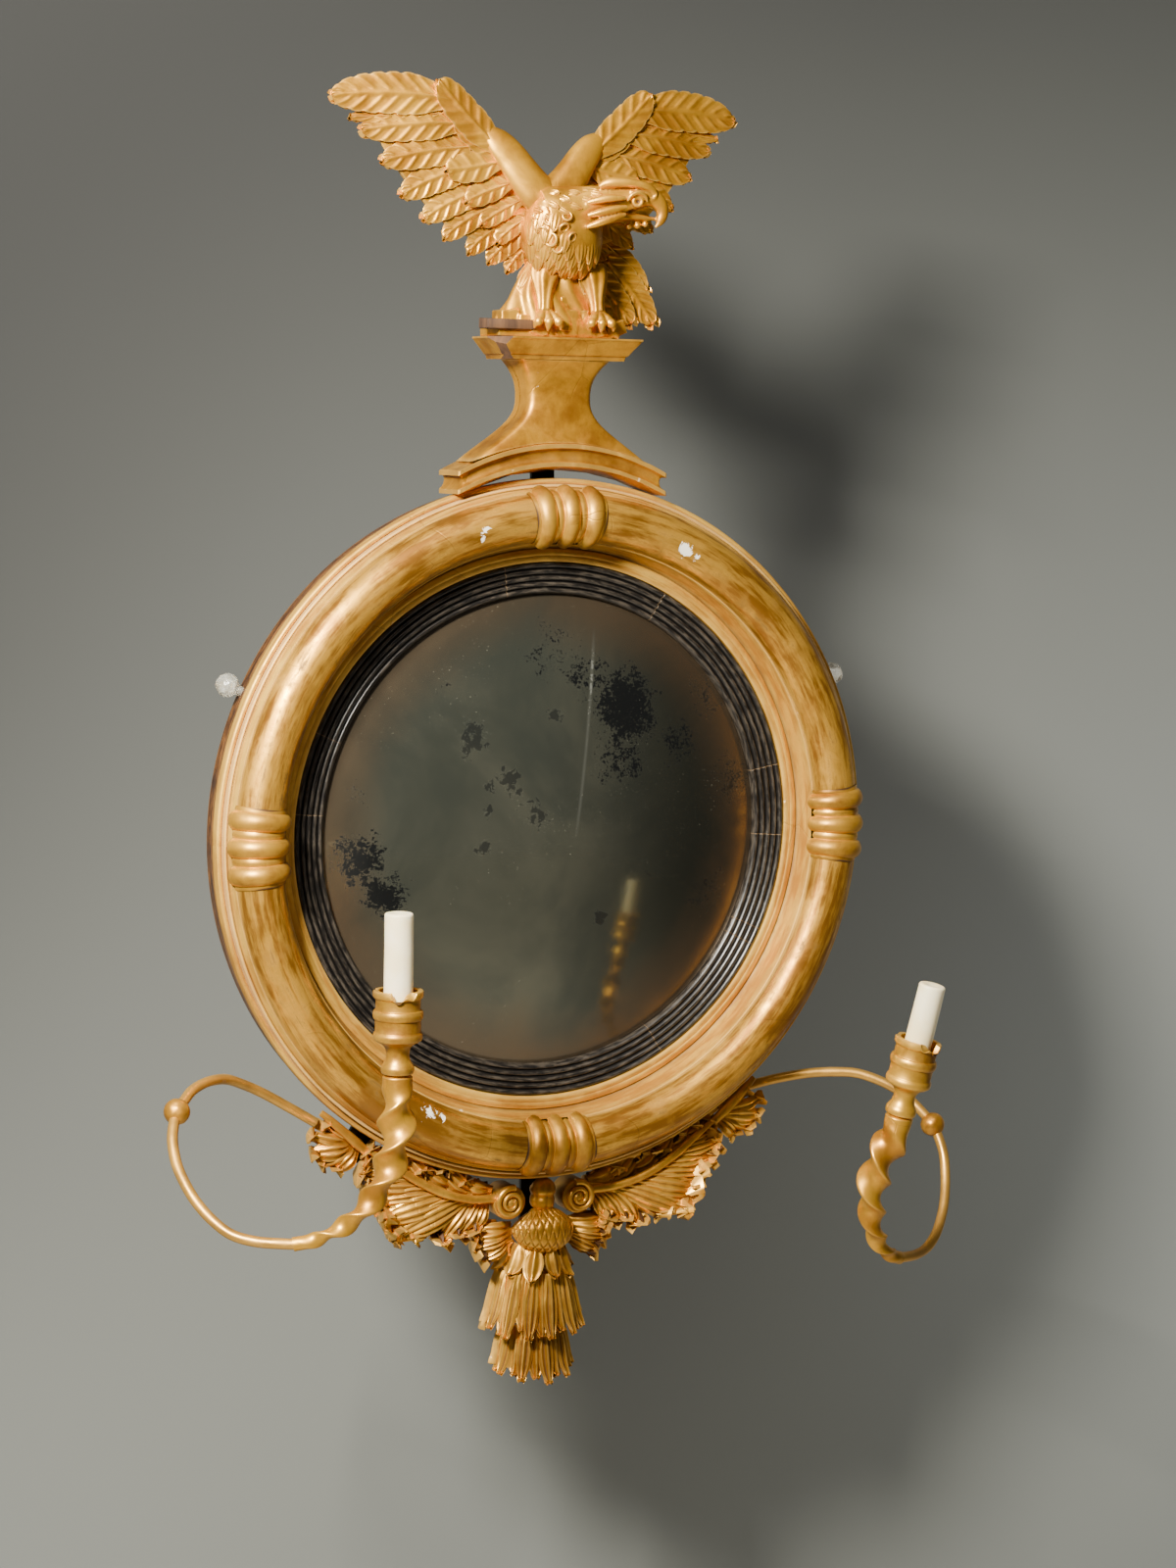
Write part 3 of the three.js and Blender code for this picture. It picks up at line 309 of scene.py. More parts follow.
class Shelf:
    """Short ways to add and join nodes in one tree."""

    def __init__(self, tree):
        self.tree = tree

    def add(self, kind, **values):
        node = self.tree.nodes.new(kind)
        for key, value in values.items():
            setattr(node, key, value)
        return node

    def put(self, socket, value):
        if isinstance(value, bpy.types.NodeSocket):
            self.tree.links.new(value, socket)
        else:
            socket.default_value = value

    def maths(self, operation, a, b=0.0, clamp=False):
        node = self.add("ShaderNodeMath", operation=operation, use_clamp=clamp)
        self.put(node.inputs[0], a)
        self.put(node.inputs[1], b)
        return node.outputs[0]

    def plus(self, a, b, clamp=False):
        return self.maths("ADD", a, b, clamp)

    def minus(self, a, b):
        return self.maths("SUBTRACT", a, b)

    def times(self, a, b, clamp=False):
        return self.maths("MULTIPLY", a, b, clamp)

    def larger(self, a, b):
        return self.maths("MAXIMUM", a, b)

    def split(self, place):
        node = self.add("ShaderNodeSeparateXYZ")
        self.put(node.inputs[0], place)
        return node.outputs

    def vector(self, operation, a, b=(0, 0, 0)):
        node = self.add("ShaderNodeVectorMath", operation=operation)
        self.put(node.inputs[0], a)
        if operation == "SCALE":
            self.put(node.inputs["Scale"], b)
        else:
            self.put(node.inputs[1], b)
        return node.outputs["Value" if operation in {"LENGTH", "DISTANCE", "DOT_PRODUCT"} else "Vector"]

    def noise(self, where, scale, detail=4.0, rough=0.55, warp=0.0):
        node = self.add("ShaderNodeTexNoise")
        self.put(node.inputs["Vector"], where)
        self.put(node.inputs["Scale"], scale)
        self.put(node.inputs["Detail"], detail)
        self.put(node.inputs["Roughness"], rough)
        self.put(node.inputs["Distortion"], warp)
        return node.outputs["Fac"]

    def voronoi(self, where, scale, feature="F1"):
        node = self.add("ShaderNodeTexVoronoi", feature=feature)
        self.put(node.inputs["Vector"], where)
        self.put(node.inputs["Scale"], scale)
        return node.outputs["Distance"]

    def span(self, value, low, high, to_low=0.0, to_high=1.0):
        node = self.add("ShaderNodeMapRange", interpolation_type="SMOOTHSTEP")
        for socket, number in zip(node.inputs, (value, low, high, to_low, to_high)):
            self.put(socket, number)
        return node.outputs[0]

    def blend(self, factor, a, b, kind="MIX"):
        node = self.add("ShaderNodeMix", data_type="RGBA", blend_type=kind)
        self.put(node.inputs[0], factor)
        self.put(node.inputs[6], a)
        self.put(node.inputs[7], b)
        return node.outputs[2]

    def bump(self, height, strength, distance, normal=None):
        node = self.add("ShaderNodeBump")
        node.inputs["Strength"].default_value = strength
        node.inputs["Distance"].default_value = distance
        self.put(node.inputs["Height"], height)
        if normal is not None:
            self.put(node.inputs["Normal"], normal)
        return node.outputs[0]

    def use(self, tree, **values):
        node = self.add("ShaderNodeGroup")
        node.node_tree = tree
        for key, value in values.items():
            self.put(node.inputs[key.replace("_", " ")], value)
        return node.outputs


def rgb(red, green, blue):
    """A colour as the eye sees it, 0 to 255, made linear."""
    def linear(c):
        c /= 255
        return c / 12.92 if c <= 0.04045 else ((c + 0.055) / 1.055) ** 2.4
    return (linear(red), linear(green), linear(blue), 1.0)


def round_places():
    """Places round the frame: the radius, the turn and a place stretched along the ring."""
    tree, enter, leave = group("Places round the ring", [("Place", "v", None)],
                               [("Radius", "f"), ("Turn", "f"), ("Stretched", "v")])
    s = Shelf(tree)
    x, y, z = s.split(enter.outputs["Place"])
    radius = s.maths("SQRT", s.plus(s.times(x, x), s.times(z, z)))
    turn = s.maths("ARCTAN2", z, x)
    join = s.add("ShaderNodeCombineXYZ")
    s.put(join.inputs[0], s.times(radius, 8.0))
    s.put(join.inputs[1], s.times(turn, 0.25))
    s.put(join.inputs[2], s.times(y, 8.0))
    s.put(leave.inputs["Radius"], radius)
    s.put(leave.inputs["Turn"], turn)
    s.put(leave.inputs["Stretched"], join.outputs[0])
    return tree


def worn_gilding():
    """Leaf over bole and gesso: colour, roughness, metal and height of old gilding, with grime and painted
    shade in the hollows and a painted highlight on the ridges.
    """
    tree, enter, leave = group(
        "Worn gilding",
        [("Place", "v", None), ("Streaks", "v", None), ("Leaf", "c", rgb(214, 164, 84)),
         ("Shade", "c", rgb(140, 96, 44)), ("Bole", "c", rgb(84, 46, 22)), ("Gesso", "c", rgb(232, 222, 202)),
         ("Rubbing", "f", 0.4), ("Grime", "f", 0.5), ("Chips", "f", 0.3), ("Size", "f", 1.0)],
        [("Color", "c"), ("Roughness", "f"), ("Metal", "f"), ("Height", "f")])
    s = Shelf(tree)
    take_in = enter.outputs
    place = s.vector("SCALE", take_in["Place"], take_in["Size"])
    cloud = s.noise(place, 9.0, 5.0, 0.6, 0.6)
    mottle = s.noise(place, 46.0, 6.0, 0.65, 0.4)
    fine = s.noise(place, 320.0, 4.0, 0.7)
    streak = s.noise(take_in["Streaks"], 22.0, 6.0, 0.65, 0.2)
    shape = s.add("ShaderNodeNewGeometry").outputs["Pointiness"]
    hollow = s.span(shape, 0.44, 0.5, 1.0, 0.0)
    ridge = s.span(shape, 0.515, 0.57)
    tone = s.plus(s.times(cloud, 0.4), s.times(streak, 0.6))
    colour = s.blend(s.span(tone, 0.41, 0.6), take_in["Shade"], take_in["Leaf"])
    colour = s.blend(s.times(s.span(mottle, 0.52, 0.75), 0.35), colour, take_in["Leaf"])
    worn = s.span(s.plus(s.times(streak, 0.6), s.times(mottle, 0.4)), 0.5, 0.66)
    rubbed = s.times(worn, take_in["Rubbing"], clamp=True)
    colour = s.blend(rubbed, colour, take_in["Bole"])
    # Grime and painted shade: the hollows darkened towards the bole colour.
    hollow_grime_and_shade = s.times(hollow, take_in["Grime"], clamp=True)
    colour = s.blend(hollow_grime_and_shade, colour, take_in["Bole"])
    # Painted highlight: the ridges blended towards a paler, brighter gold.
    painted_ridge_highlight = s.blend(0.35, take_in["Leaf"], rgb(255, 222, 140))
    colour = s.blend(s.times(ridge, 0.6), colour, painted_ridge_highlight)
    chip_field = s.plus(s.times(s.noise(place, 58.0, 3.0, 0.6, 1.2), 0.75),
                         s.times(s.noise(place, 7.0, 2.0), 0.25))
    chip_field = s.plus(chip_field, s.times(ridge, 0.05))
    chips = s.times(s.span(chip_field, 0.705, 0.72), take_in["Chips"], clamp=True)
    warped = s.vector("ADD", place, s.vector("SCALE", take_in["Place"], 0.05))
    crack = s.span(s.voronoi(warped, 17.0, "DISTANCE_TO_EDGE"), 0.0, 0.011, 1.0, 0.0)
    crack = s.times(crack, s.span(s.noise(place, 13.0, 2.0), 0.56, 0.62))
    crack = s.times(crack, take_in["Chips"], clamp=True)
    colour = s.blend(s.times(crack, 0.55), colour, take_in["Bole"])
    colour = s.blend(chips, colour, take_in["Gesso"])
    s.put(leave.inputs["Color"], colour)
    rough = s.span(mottle, 0.3, 0.75, 0.3, 0.5)
    rough = s.plus(rough, s.times(s.plus(hollow_grime_and_shade, rubbed), 0.22))
    s.put(leave.inputs["Roughness"], s.plus(rough, s.times(chips, 0.4), clamp=True))
    bare = s.larger(chips, s.times(s.larger(hollow_grime_and_shade, rubbed), 0.65))
    s.put(leave.inputs["Metal"], s.span(bare, 0.0, 1.0, 0.72, 0.0))
    height = s.plus(s.times(fine, 0.12), s.times(mottle, 0.5))
    height = s.minus(height, s.times(chips, 1.2))
    s.put(leave.inputs["Height"], s.minus(height, crack))
    return tree


def spots_group():
    """A ragged patch round one place."""
    tree, enter, leave = group("Ragged patch", [("Place", "v", None), ("Middle", "v", None),
                                                ("Reach", "f", 0.01)],
                               [("Mask", "f")])
    s = Shelf(tree)
    away = s.vector("DISTANCE", enter.outputs["Place"], enter.outputs["Middle"])
    rag = s.noise(enter.outputs["Place"], 130.0, 4.0, 0.7, 0.8)
    value = s.plus(s.maths("DIVIDE", away, enter.outputs["Reach"]), s.times(s.minus(rag, 0.5), 3.4))
    s.put(leave.inputs["Mask"], s.span(value, 0.55, 0.75, 1.0, 0.0))
    return tree


ROUND = round_places()
GILDING = worn_gilding()
PATCH = spots_group()


def material(name):
    made = bpy.data.materials.new(name)
    made.use_nodes = True
    made.node_tree.nodes.clear()
    s = Shelf(made.node_tree)
    shader = s.add("ShaderNodeBsdfPrincipled")
    out = s.add("ShaderNodeOutputMaterial")
    made.node_tree.links.new(shader.outputs[0], out.inputs[0])
    place = s.add("ShaderNodeTexCoord").outputs["Object"]
    return made, s, shader, place


def gilt(name, leaf, shade, bole, rubbing, grime_and_shade, chips, size=1.0, along_ring=False, patches=(),
         relief=0.0006):
    """Old gilding; patches are (x, proud, z, reach) in millimetres where bare gesso shows."""
    made, s, shader, place = material(name)
    streaks = s.use(ROUND, Place=place)["Stretched"] if along_ring else place
    worn = s.use(GILDING, Place=place, Streaks=streaks, Leaf=leaf, Shade=shade, Bole=bole,
                 Rubbing=rubbing, Grime=grime_and_shade, Chips=chips, Size=size)
    colour, rough, metal, height = (worn[k] for k in ("Color", "Roughness", "Metal", "Height"))
    for x, proud, z, reach in patches:
        mask = s.use(PATCH, Place=place, Middle=at(x, proud, z), Reach=reach * 0.001)["Mask"]
        colour = s.blend(mask, colour, rgb(236, 228, 212))
        rough = s.larger(rough, s.times(mask, 0.8))
        metal = s.times(metal, s.minus(1.0, mask))
        height = s.minus(height, mask)
    s.put(shader.inputs["Base Color"], colour)
    s.put(shader.inputs["Roughness"], rough)
    s.put(shader.inputs["Metallic"], metal)
    s.put(shader.inputs["Normal"], s.bump(height, 0.5, relief))
    return made


def frame_finish():
    """The turned frame: matte flats, an outer bead made paler, its own paler gilding with a painted highlight,
    and a brown back edge, told by radius.
    """
    made, s, shader, place = material("matte gilding of the frame")
    ring = s.use(ROUND, Place=place)
    worn = s.use(GILDING, Place=place, Streaks=ring["Stretched"], Leaf=rgb(230, 180, 74),
                 Shade=rgb(184, 128, 46), Bole=rgb(74, 48, 18), Rubbing=0.35, Grime=0.75, Chips=0.5)
    proud = s.times(s.split(place)[1], -1.0)
    wobble = s.times(s.minus(s.noise(ring["Stretched"], 30.0, 4.0), 0.5), 0.004)
    radius = s.plus(ring["Radius"], wobble)
    colour = worn["Color"]
    back_edge = s.times(s.span(radius, 0.2862, 0.2872), s.span(proud, 0.0235, 0.0265, 1.0, 0.0))
    low = s.span(proud, 0.018, 0.022, 1.0, 0.0)
    brown = s.blend(s.span(s.noise(ring["Stretched"], 60.0, 6.0, 0.7), 0.45, 0.62), rgb(58, 32, 18),
                    rgb(150, 98, 44))
    colour = s.blend(s.larger(back_edge, s.times(low, s.span(radius, 0.2835, 0.284))), colour, brown)
    # The outer bead: paler gilding and a painted highlight, all round the ring.
    pale = s.times(s.span(radius, 0.2808, 0.2818), s.span(radius, 0.2836, 0.2846, 1.0, 0.0))
    colour = s.blend(s.times(pale, 0.45), colour, rgb(232, 190, 126))
    bare = s.span(proud, 0.0005, 0.002, 1.0, 0.0)
    colour = s.blend(bare, colour, rgb(116, 84, 52))
    metal = s.times(worn["Metal"], s.minus(0.75, s.times(back_edge, 0.5)))
    s.put(shader.inputs["Base Color"], colour)
    s.put(shader.inputs["Roughness"], s.plus(worn["Roughness"], 0.1))
    s.put(shader.inputs["Metallic"], s.times(metal, s.minus(1.0, bare)))
    s.put(shader.inputs["Normal"], s.bump(worn["Height"], 0.5, 0.0006))
    return made


def ebonised_finish():
    """Black stained reeds, dusty in the hollows, with hairline cracks across them."""
    made, s, shader, place = material("ebonised reeds")
    ring = s.use(ROUND, Place=place)
    shape = s.add("ShaderNodeNewGeometry").outputs["Pointiness"]
    wear = s.times(s.span(shape, 0.503, 0.53), s.span(s.noise(ring["Stretched"], 60.0, 5.0, 0.7), 0.42, 0.62))
    colour = s.blend(s.times(wear, 0.6), rgb(20, 18, 17), rgb(84, 76, 66))
    dust = s.span(s.noise(place, 90.0, 5.0, 0.7), 0.5, 0.8)
    colour = s.blend(s.times(dust, 0.16), colour, rgb(110, 100, 84))
    split = None
    for degrees in (174.4, 157.0, -3.0, -24.6, -28.4, -60.4, 13.0, 62.0, 101.0, -131.0):
        off = s.minus(ring["Turn"], math.radians(degrees))
        off = s.plus(off, s.times(s.minus(s.noise(place, 80.0, 3.0), 0.5), 0.006))
        line = s.span(s.maths("ABSOLUTE", off), 0.0006, 0.0022, 1.0, 0.0)
        split = line if split is None else s.larger(split, line)
    colour = s.blend(s.times(split, 0.8), colour, rgb(118, 96, 70))
    s.put(shader.inputs["Base Color"], colour)
    s.put(shader.inputs["Roughness"], s.span(dust, 0.0, 1.0, 0.3, 0.5))
    height = s.minus(s.times(s.noise(place, 260.0, 3.0), 0.15), split)
    s.put(shader.inputs["Normal"], s.bump(height, 0.6, 0.0006))
    return made


# Speckle clouds in the silvering, (x, z, reach in millimetres, strength), and blotches, (x, z, reach).
SPECKLE_CLOUDS = (
    (66.8, 102.3, 62, 1.0), (30.7, 127.2, 46, 0.8), (118, 72, 52, 0.8), (-4, 100, 40, 0.5),
    (-165, -18, 48, 0.95), (-145, -46, 42, 0.95), (-168, 36, 36, 0.7), (120, 12, 46, 0.55),
    (95, -25, 80, 0.6), (40, -60, 60, 0.5), (172, 40, 50, 0.8), (150, -60, 60, 0.7),
    (60, 60, 60, 0.8), (0, 150, 70, 0.7), (-90, 120, 60, 0.6), (150, 110, 50, 0.8))
BLOTCHES = (
    (-71.4, 80, 15), (-76, 72, 12), (-20, 17.7, 13), (-13, 10, 10), (-42, 45, 12), (-35, 36, 8), (-63, -8, 9),
    (66.8, 100, 16), (72, 88, 11), (2, 96, 9), (-56, 40, 7), (45, -72, 8), (-60, 20, 7))


def foxed_glass():
    """Silvering gone dark, with speckle clouds, blotches, a browned rim, pale dust and a painted dark
    reflection towards the right.
    """
    made, s, shader, place = material("foxed convex glass")
    ring = s.use(ROUND, Place=place)
    cloud = s.noise(place, 7.0, 5.0, 0.6, 0.5)
    base = s.blend(s.span(cloud, 0.35, 0.68), rgb(92, 96, 86), rgb(122, 122, 106))
    x, _, z = s.split(place)
    # Painted dark reflection: the glass darker towards the right.
    base = s.blend(s.span(x, -0.02, 0.14), base, rgb(64, 65, 56))
    rim = s.span(s.plus(ring["Radius"], s.times(s.minus(cloud, 0.5), 0.09)), 0.135, 0.195)
    base = s.blend(s.times(rim, 0.75), base, rgb(112, 92, 70))
    grain = s.noise(place, 420.0, 3.0, 0.75)
    coarse = s.noise(place, 90.0, 6.0, 0.75, 0.3)
    clusters = None
    for across, up, reach, power in SPECKLE_CLOUDS:
        away = s.vector("DISTANCE", place, at(across, 32, up))
        near = s.times(s.span(away, 0.0, reach * 0.00135, 1.0, 0.0), power)
        clusters = near if clusters is None else s.larger(clusters, near)
    level = s.minus(0.86, s.times(clusters, 0.5))
    mix_grain = s.plus(s.times(grain, 0.5), s.times(coarse, 0.5))
    speck = s.span(s.minus(mix_grain, level), -0.015, 0.03)
    blots = None
    for across, up, reach in BLOTCHES:
        mask = s.use(PATCH, Place=place, Middle=at(across, 36, up), Reach=reach * 0.001)["Mask"]
        blots = mask if blots is None else s.larger(blots, mask)
    dark = s.larger(speck, s.times(blots, 0.92))
    along = s.times(s.minus(z, 0.0066), 0.13)
    off = s.maths("ABSOLUTE", s.minus(s.minus(x, 0.0197), along))
    reach = s.times(s.span(z, -0.01, 0.02), s.span(z, 0.14, 0.17, 1.0, 0.0))
    scratch = s.times(s.span(off, 0.0, 0.0022, 1.0, 0.0), reach)
    colour = s.blend(dark, base, rgb(16, 17, 17))
    dust = s.span(s.noise(place, 700.0, 2.0, 0.8), 0.68, 0.76)
    dust = s.times(dust, s.span(s.noise(place, 11.0, 3.0), 0.42, 0.64))
    colour = s.blend(s.times(dust, 0.5), colour, rgb(176, 172, 152))
    colour = s.blend(s.times(scratch, 0.28), colour, rgb(176, 178, 168))
    s.put(shader.inputs["Base Color"], colour)
    haze = s.larger(s.times(rim, 0.5), s.times(dust, 0.8))
    haze = s.plus(haze, s.times(dark, 0.35), clamp=True)
    s.put(shader.inputs["Roughness"], s.span(haze, 0.0, 1.0, 0.09, 0.45))
    s.put(shader.inputs["Metallic"], s.span(s.larger(dark, dust), 0.0, 1.0, 0.82, 0.15))
    shader.inputs["Coat Weight"].default_value = 0.35
    shader.inputs["Coat Roughness"].default_value = 0.05
    s.put(shader.inputs["Normal"], s.bump(coarse, 0.12, 0.0004))
    return made


def wood_finish(name, pale, dark, rough=0.75):
    made, s, shader, place = material(name)
    stretch = s.vector("MULTIPLY", place, (1.0, 1.0, 0.09))
    wave = s.add("ShaderNodeTexWave", wave_type="BANDS", bands_direction="X")
    s.put(wave.inputs["Vector"], stretch)
    for key, value in (("Scale", 13.0), ("Distortion", 5.0), ("Detail", 3.0), ("Detail Scale", 1.1)):
        wave.inputs[key].default_value = value
    grain = s.noise(stretch, 240.0, 6.0, 0.7)
    tone = s.plus(s.times(wave.outputs["Fac"], 0.22), s.times(grain, 0.78))
    colour = s.blend(s.span(tone, 0.22, 0.78), dark, pale)
    stain = s.span(s.noise(place, 6.0, 4.0), 0.5, 0.75)
    colour = s.blend(s.times(stain, 0.45), colour, dark)
    s.put(shader.inputs["Base Color"], colour)
    s.put(shader.inputs["Roughness"], s.span(grain, 0.2, 0.8, rough - 0.08, rough + 0.1))
    s.put(shader.inputs["Normal"], s.bump(grain, 0.5, 0.0005))
    return made


def iron_finish():
    made, s, shader, place = material("dark wrought iron")
    cloud = s.noise(place, 60.0, 6.0, 0.65)
    rust = s.span(s.noise(place, 24.0, 6.0, 0.7), 0.55, 0.7)
    colour = s.blend(s.span(cloud, 0.35, 0.7), rgb(30, 28, 27), rgb(58, 54, 50))
    colour = s.blend(s.times(rust, 0.5), colour, rgb(88, 52, 32))
    s.put(shader.inputs["Base Color"], colour)
    s.put(shader.inputs["Roughness"], s.span(rust, 0.0, 1.0, 0.5, 0.85))
    s.put(shader.inputs["Metallic"], s.span(rust, 0.0, 1.0, 0.85, 0.2))
    s.put(shader.inputs["Normal"], s.bump(cloud, 0.5, 0.0004))
    return made


def wax_finish():
    made, s, shader, place = material("cream candle wax")
    cloud = s.noise(place, 34.0, 4.0, 0.55)
    fine = s.noise(place, 260.0, 3.0, 0.6)
    colour = s.blend(s.span(cloud, 0.35, 0.7), rgb(240, 222, 174), rgb(248, 236, 200))
    s.put(shader.inputs["Base Color"], colour)
    s.put(shader.inputs["Roughness"], s.span(fine, 0.3, 0.7, 0.38, 0.52))
    shader.inputs["Subsurface Weight"].default_value = 0.25
    shader.inputs["Subsurface Radius"].default_value = (0.006, 0.004, 0.002)
    s.put(shader.inputs["Normal"], s.bump(s.plus(cloud, s.times(fine, 0.2)), 0.25, 0.0006))
    return made


def clear_finish():
    made, s, shader, place = material("dusty clear glass")
    cloud = s.noise(place, 120.0, 5.0, 0.6)
    s.put(shader.inputs["Base Color"], s.blend(s.span(cloud, 0.4, 0.7), rgb(236, 236, 226), rgb(206, 196, 172)))
    s.put(shader.inputs["Roughness"], s.span(cloud, 0.4, 0.75, 0.08, 0.34))
    shader.inputs["Transmission Weight"].default_value = 0.8
    shader.inputs["IOR"].default_value = 1.5
    s.put(shader.inputs["Normal"], s.bump(cloud, 0.5, 0.002))
    return made


BRIGHT = gilt("burnished carving", rgb(230, 168, 46), rgb(180, 120, 26), rgb(62, 36, 10), 0.3, 1.0, 0.35)
APRON = gilt("rubbed carving", rgb(228, 170, 58), rgb(180, 122, 36), rgb(72, 42, 14), 0.25, 1.0, 0.3)
TORUS_CHIPS = (
    (-76, 63, 248, 5), (-78, 61, 240, 4), (102, 62, 232, 7), (112, 60, 226, 4), (-116, 60, -218, 8),
    (-106, 58, -224, 5), (139, 62, -171, 3), (-163, 62, 156, 3), (-223, 62, 69, 3), (-197, 62, -137, 3))
TORUS = gilt("rubbed burnished moulding", rgb(232, 174, 66), rgb(146, 96, 30), rgb(60, 36, 12), 0.8, 0.8, 0.45,
             along_ring=True, patches=TORUS_CHIPS)
CLASP = gilt("clasp gilding", rgb(232, 174, 58), rgb(160, 106, 30), rgb(64, 38, 14), 0.35, 1.0, 0.55)
PEDESTAL = gilt("pedestal gilding", rgb(226, 162, 44), rgb(160, 104, 24), rgb(64, 36, 12), 0.55, 0.9, 0.35)
ROD = gilt("gilded iron rod", rgb(218, 158, 54), rgb(150, 98, 30), rgb(60, 36, 14), 0.45, 0.6, 0.2)
HORN = gilt("twisted horn gilding", rgb(224, 166, 50), rgb(178, 120, 34), rgb(76, 44, 16), 0.25, 1.0, 0.3)
NOZZLE = gilt("nozzle gilding", rgb(230, 174, 56), rgb(160, 106, 30), rgb(64, 38, 14), 0.35, 0.9, 0.7)
FRAME = frame_finish()
EBONY = ebonised_finish()
GLASS = foxed_glass()
PINE = wood_finish("old pine", rgb(150, 112, 70), rgb(92, 62, 36))
RAW = wood_finish("raw dark wood", rgb(104, 70, 40), rgb(48, 30, 18))
IRON = iron_finish()
WAX = wax_finish()
CLEAR = clear_finish()


def dress(piece, finish):
    piece.data.materials.clear()
    piece.data.materials.append(finish)
    return piece


def put_on(piece, finish, nodes, body="frame"):
    """Finishes a new piece: its material, the CAD nodes that it stands for, and its body."""
    if finish is not None:
        dress(piece, finish)
    if nodes:
        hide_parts(*nodes)
    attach(piece, body)
    return piece


# ------------------------------------------------------------------ round frame

def arc_points(middle, radius, start, end, count):
    """Points of an arc in a (radius, proud) outline, angles in degrees."""
    points = []
    for i in range(count + 1):
        turn = math.radians(mix(start, end, i / count))
        points.append((middle[0] + radius * math.cos(turn), middle[1] + radius * math.sin(turn)))
    return points


def hollow(piece, cutters):
    """Cuts pockets out of a piece."""
    tool = joined("cutter", cutters)
    take(piece)
    modifier = piece.modifiers.new("Pockets", "BOOLEAN")
    modifier.object = tool
    modifier.operation = "DIFFERENCE"
    modifier.solver = "EXACT"
    bpy.ops.object.modifier_apply(modifier=modifier.name)
    bpy.data.objects.remove(tool)


def block(low, high, turn=0.0):
    """A box between two corners, (x, proud, z) in millimetres, turned about the frame's middle."""
    deselect()
    middle = [(a + b) / 2 for a, b in zip(low, high)]
    bpy.ops.mesh.primitive_cube_add(size=1, location=at(*middle),
                                    scale=[abs(b - a) * 0.001 for a, b in zip(low, high)])
    piece = named("block")
    settle(piece)
    piece.data.transform(Matrix.Rotation(math.radians(turn), 4, "Y"))
    return piece


def frame_ring():
    outline = [(236.0, 0), (283.8, 0), (284.6, 0.6), (287.4, 22), (288.0, 24), (287.9, 27)]
    outline += arc_points((285.8, 32.2), 2.2, 0, 150, 9)
    outline += [(283.4, 32.6), (283.2, 33.8)]
    outline += arc_points((282.0, 37.6), 1.3, -60, 160, 6)
    outline += [(280.4, 38.4)]
    outline += [(279.9, 40.4), (279.0, 43.0), (277.8, 44.8), (277.4, FRAME_FRONT)]
    outline += [(237.3, FRAME_FRONT), (236.6, 44.6), (235.6, 38.0), (234.6, 31.0), (233.6, 27.4),
                (232.6, 26.0), (231.6, 25.2)]
    outline += [(230.6, 26.4)]
    outline += arc_points((227.6, 24.0), 3.2, 60, 130, 5)
    outline += [(224.2, 26.6)]
    outline += [(222.4, 26.4), (220.6, 25.4), (220.3, 24.0), (220.3, 14.0), (214.0, 14.0), (214.0, 9.0),
                (236.0, 9.0)]
    ring = spun("frame_ring_turned", outline, RING_STEPS, 32)
    pockets = [block((-10.3, -2, 248.7), (10.3, 4.8, 300), 90 - angle) for angle in STRAP_ANGLES]
    pockets += [block((-20.3, -2, 246.7), (20.3, 4.8, 275.3), 90 - angle) for angle in (60, 120)]
    hollow(ring, pockets)
    soften(ring, 32)
    return ring


put_on(frame_ring(), FRAME, ["frame_ring"])


def torus_moulding():
    outline = arc_points((TORUS_CENTRE, TORUS_MIDDLE), TORUS_RADIUS, 9.5, 170.5, 26)
    return spun("torus_turned", outline, RING_STEPS, 60)


put_on(torus_moulding(), TORUS, ["torus_moulding"])


def reeded_slip():
    width = (SLIP_OUTER - SLIP_INNER) / REEDS
    outline = [(219.9, 14.3), (220.0, 23.4)]
    for i in range(REEDS):
        outer = SLIP_OUTER - i * width
        for k in range(1, 8):
            t = k / 8
            rise = 2.5 * math.sin(math.pi * t) ** 0.7 - 0.6
            outline.append((outer - width * t, SLIP_FRONT - (i + t) + rise))
        outline.append((outer - width, SLIP_FRONT - (i + 1) - 0.9))
    outline += [(SLIP_INNER, 15.6), (SLIP_INNER + 11, 14.3)]
    return spun("slip_turned", outline, RING_STEPS, 50)


put_on(reeded_slip(), EBONY, ["ebonised_slip"])


def convex_glass():
    sphere = (GLASS_RADIUS ** 2 + GLASS_RISE ** 2) / (2 * GLASS_RISE)

    def rise(r):
        return math.sqrt(sphere ** 2 - r * r) - (sphere - GLASS_RISE)

    edge = 15.3 - rise(SLIP_INNER)
    radii = [GLASS_RADIUS * i / 36 for i in range(37)]
    front = [(r, edge + rise(r)) for r in radii]
    back = [(r, height - GLASS_THICK) for r, height in reversed(front)]
    return spun("glass_dome", front + back, 160, 60)


put_on(convex_glass(), GLASS, ["mirror_plate"])


OUTER_SHARE = 0.62         # share of a clasp's section that is its outside


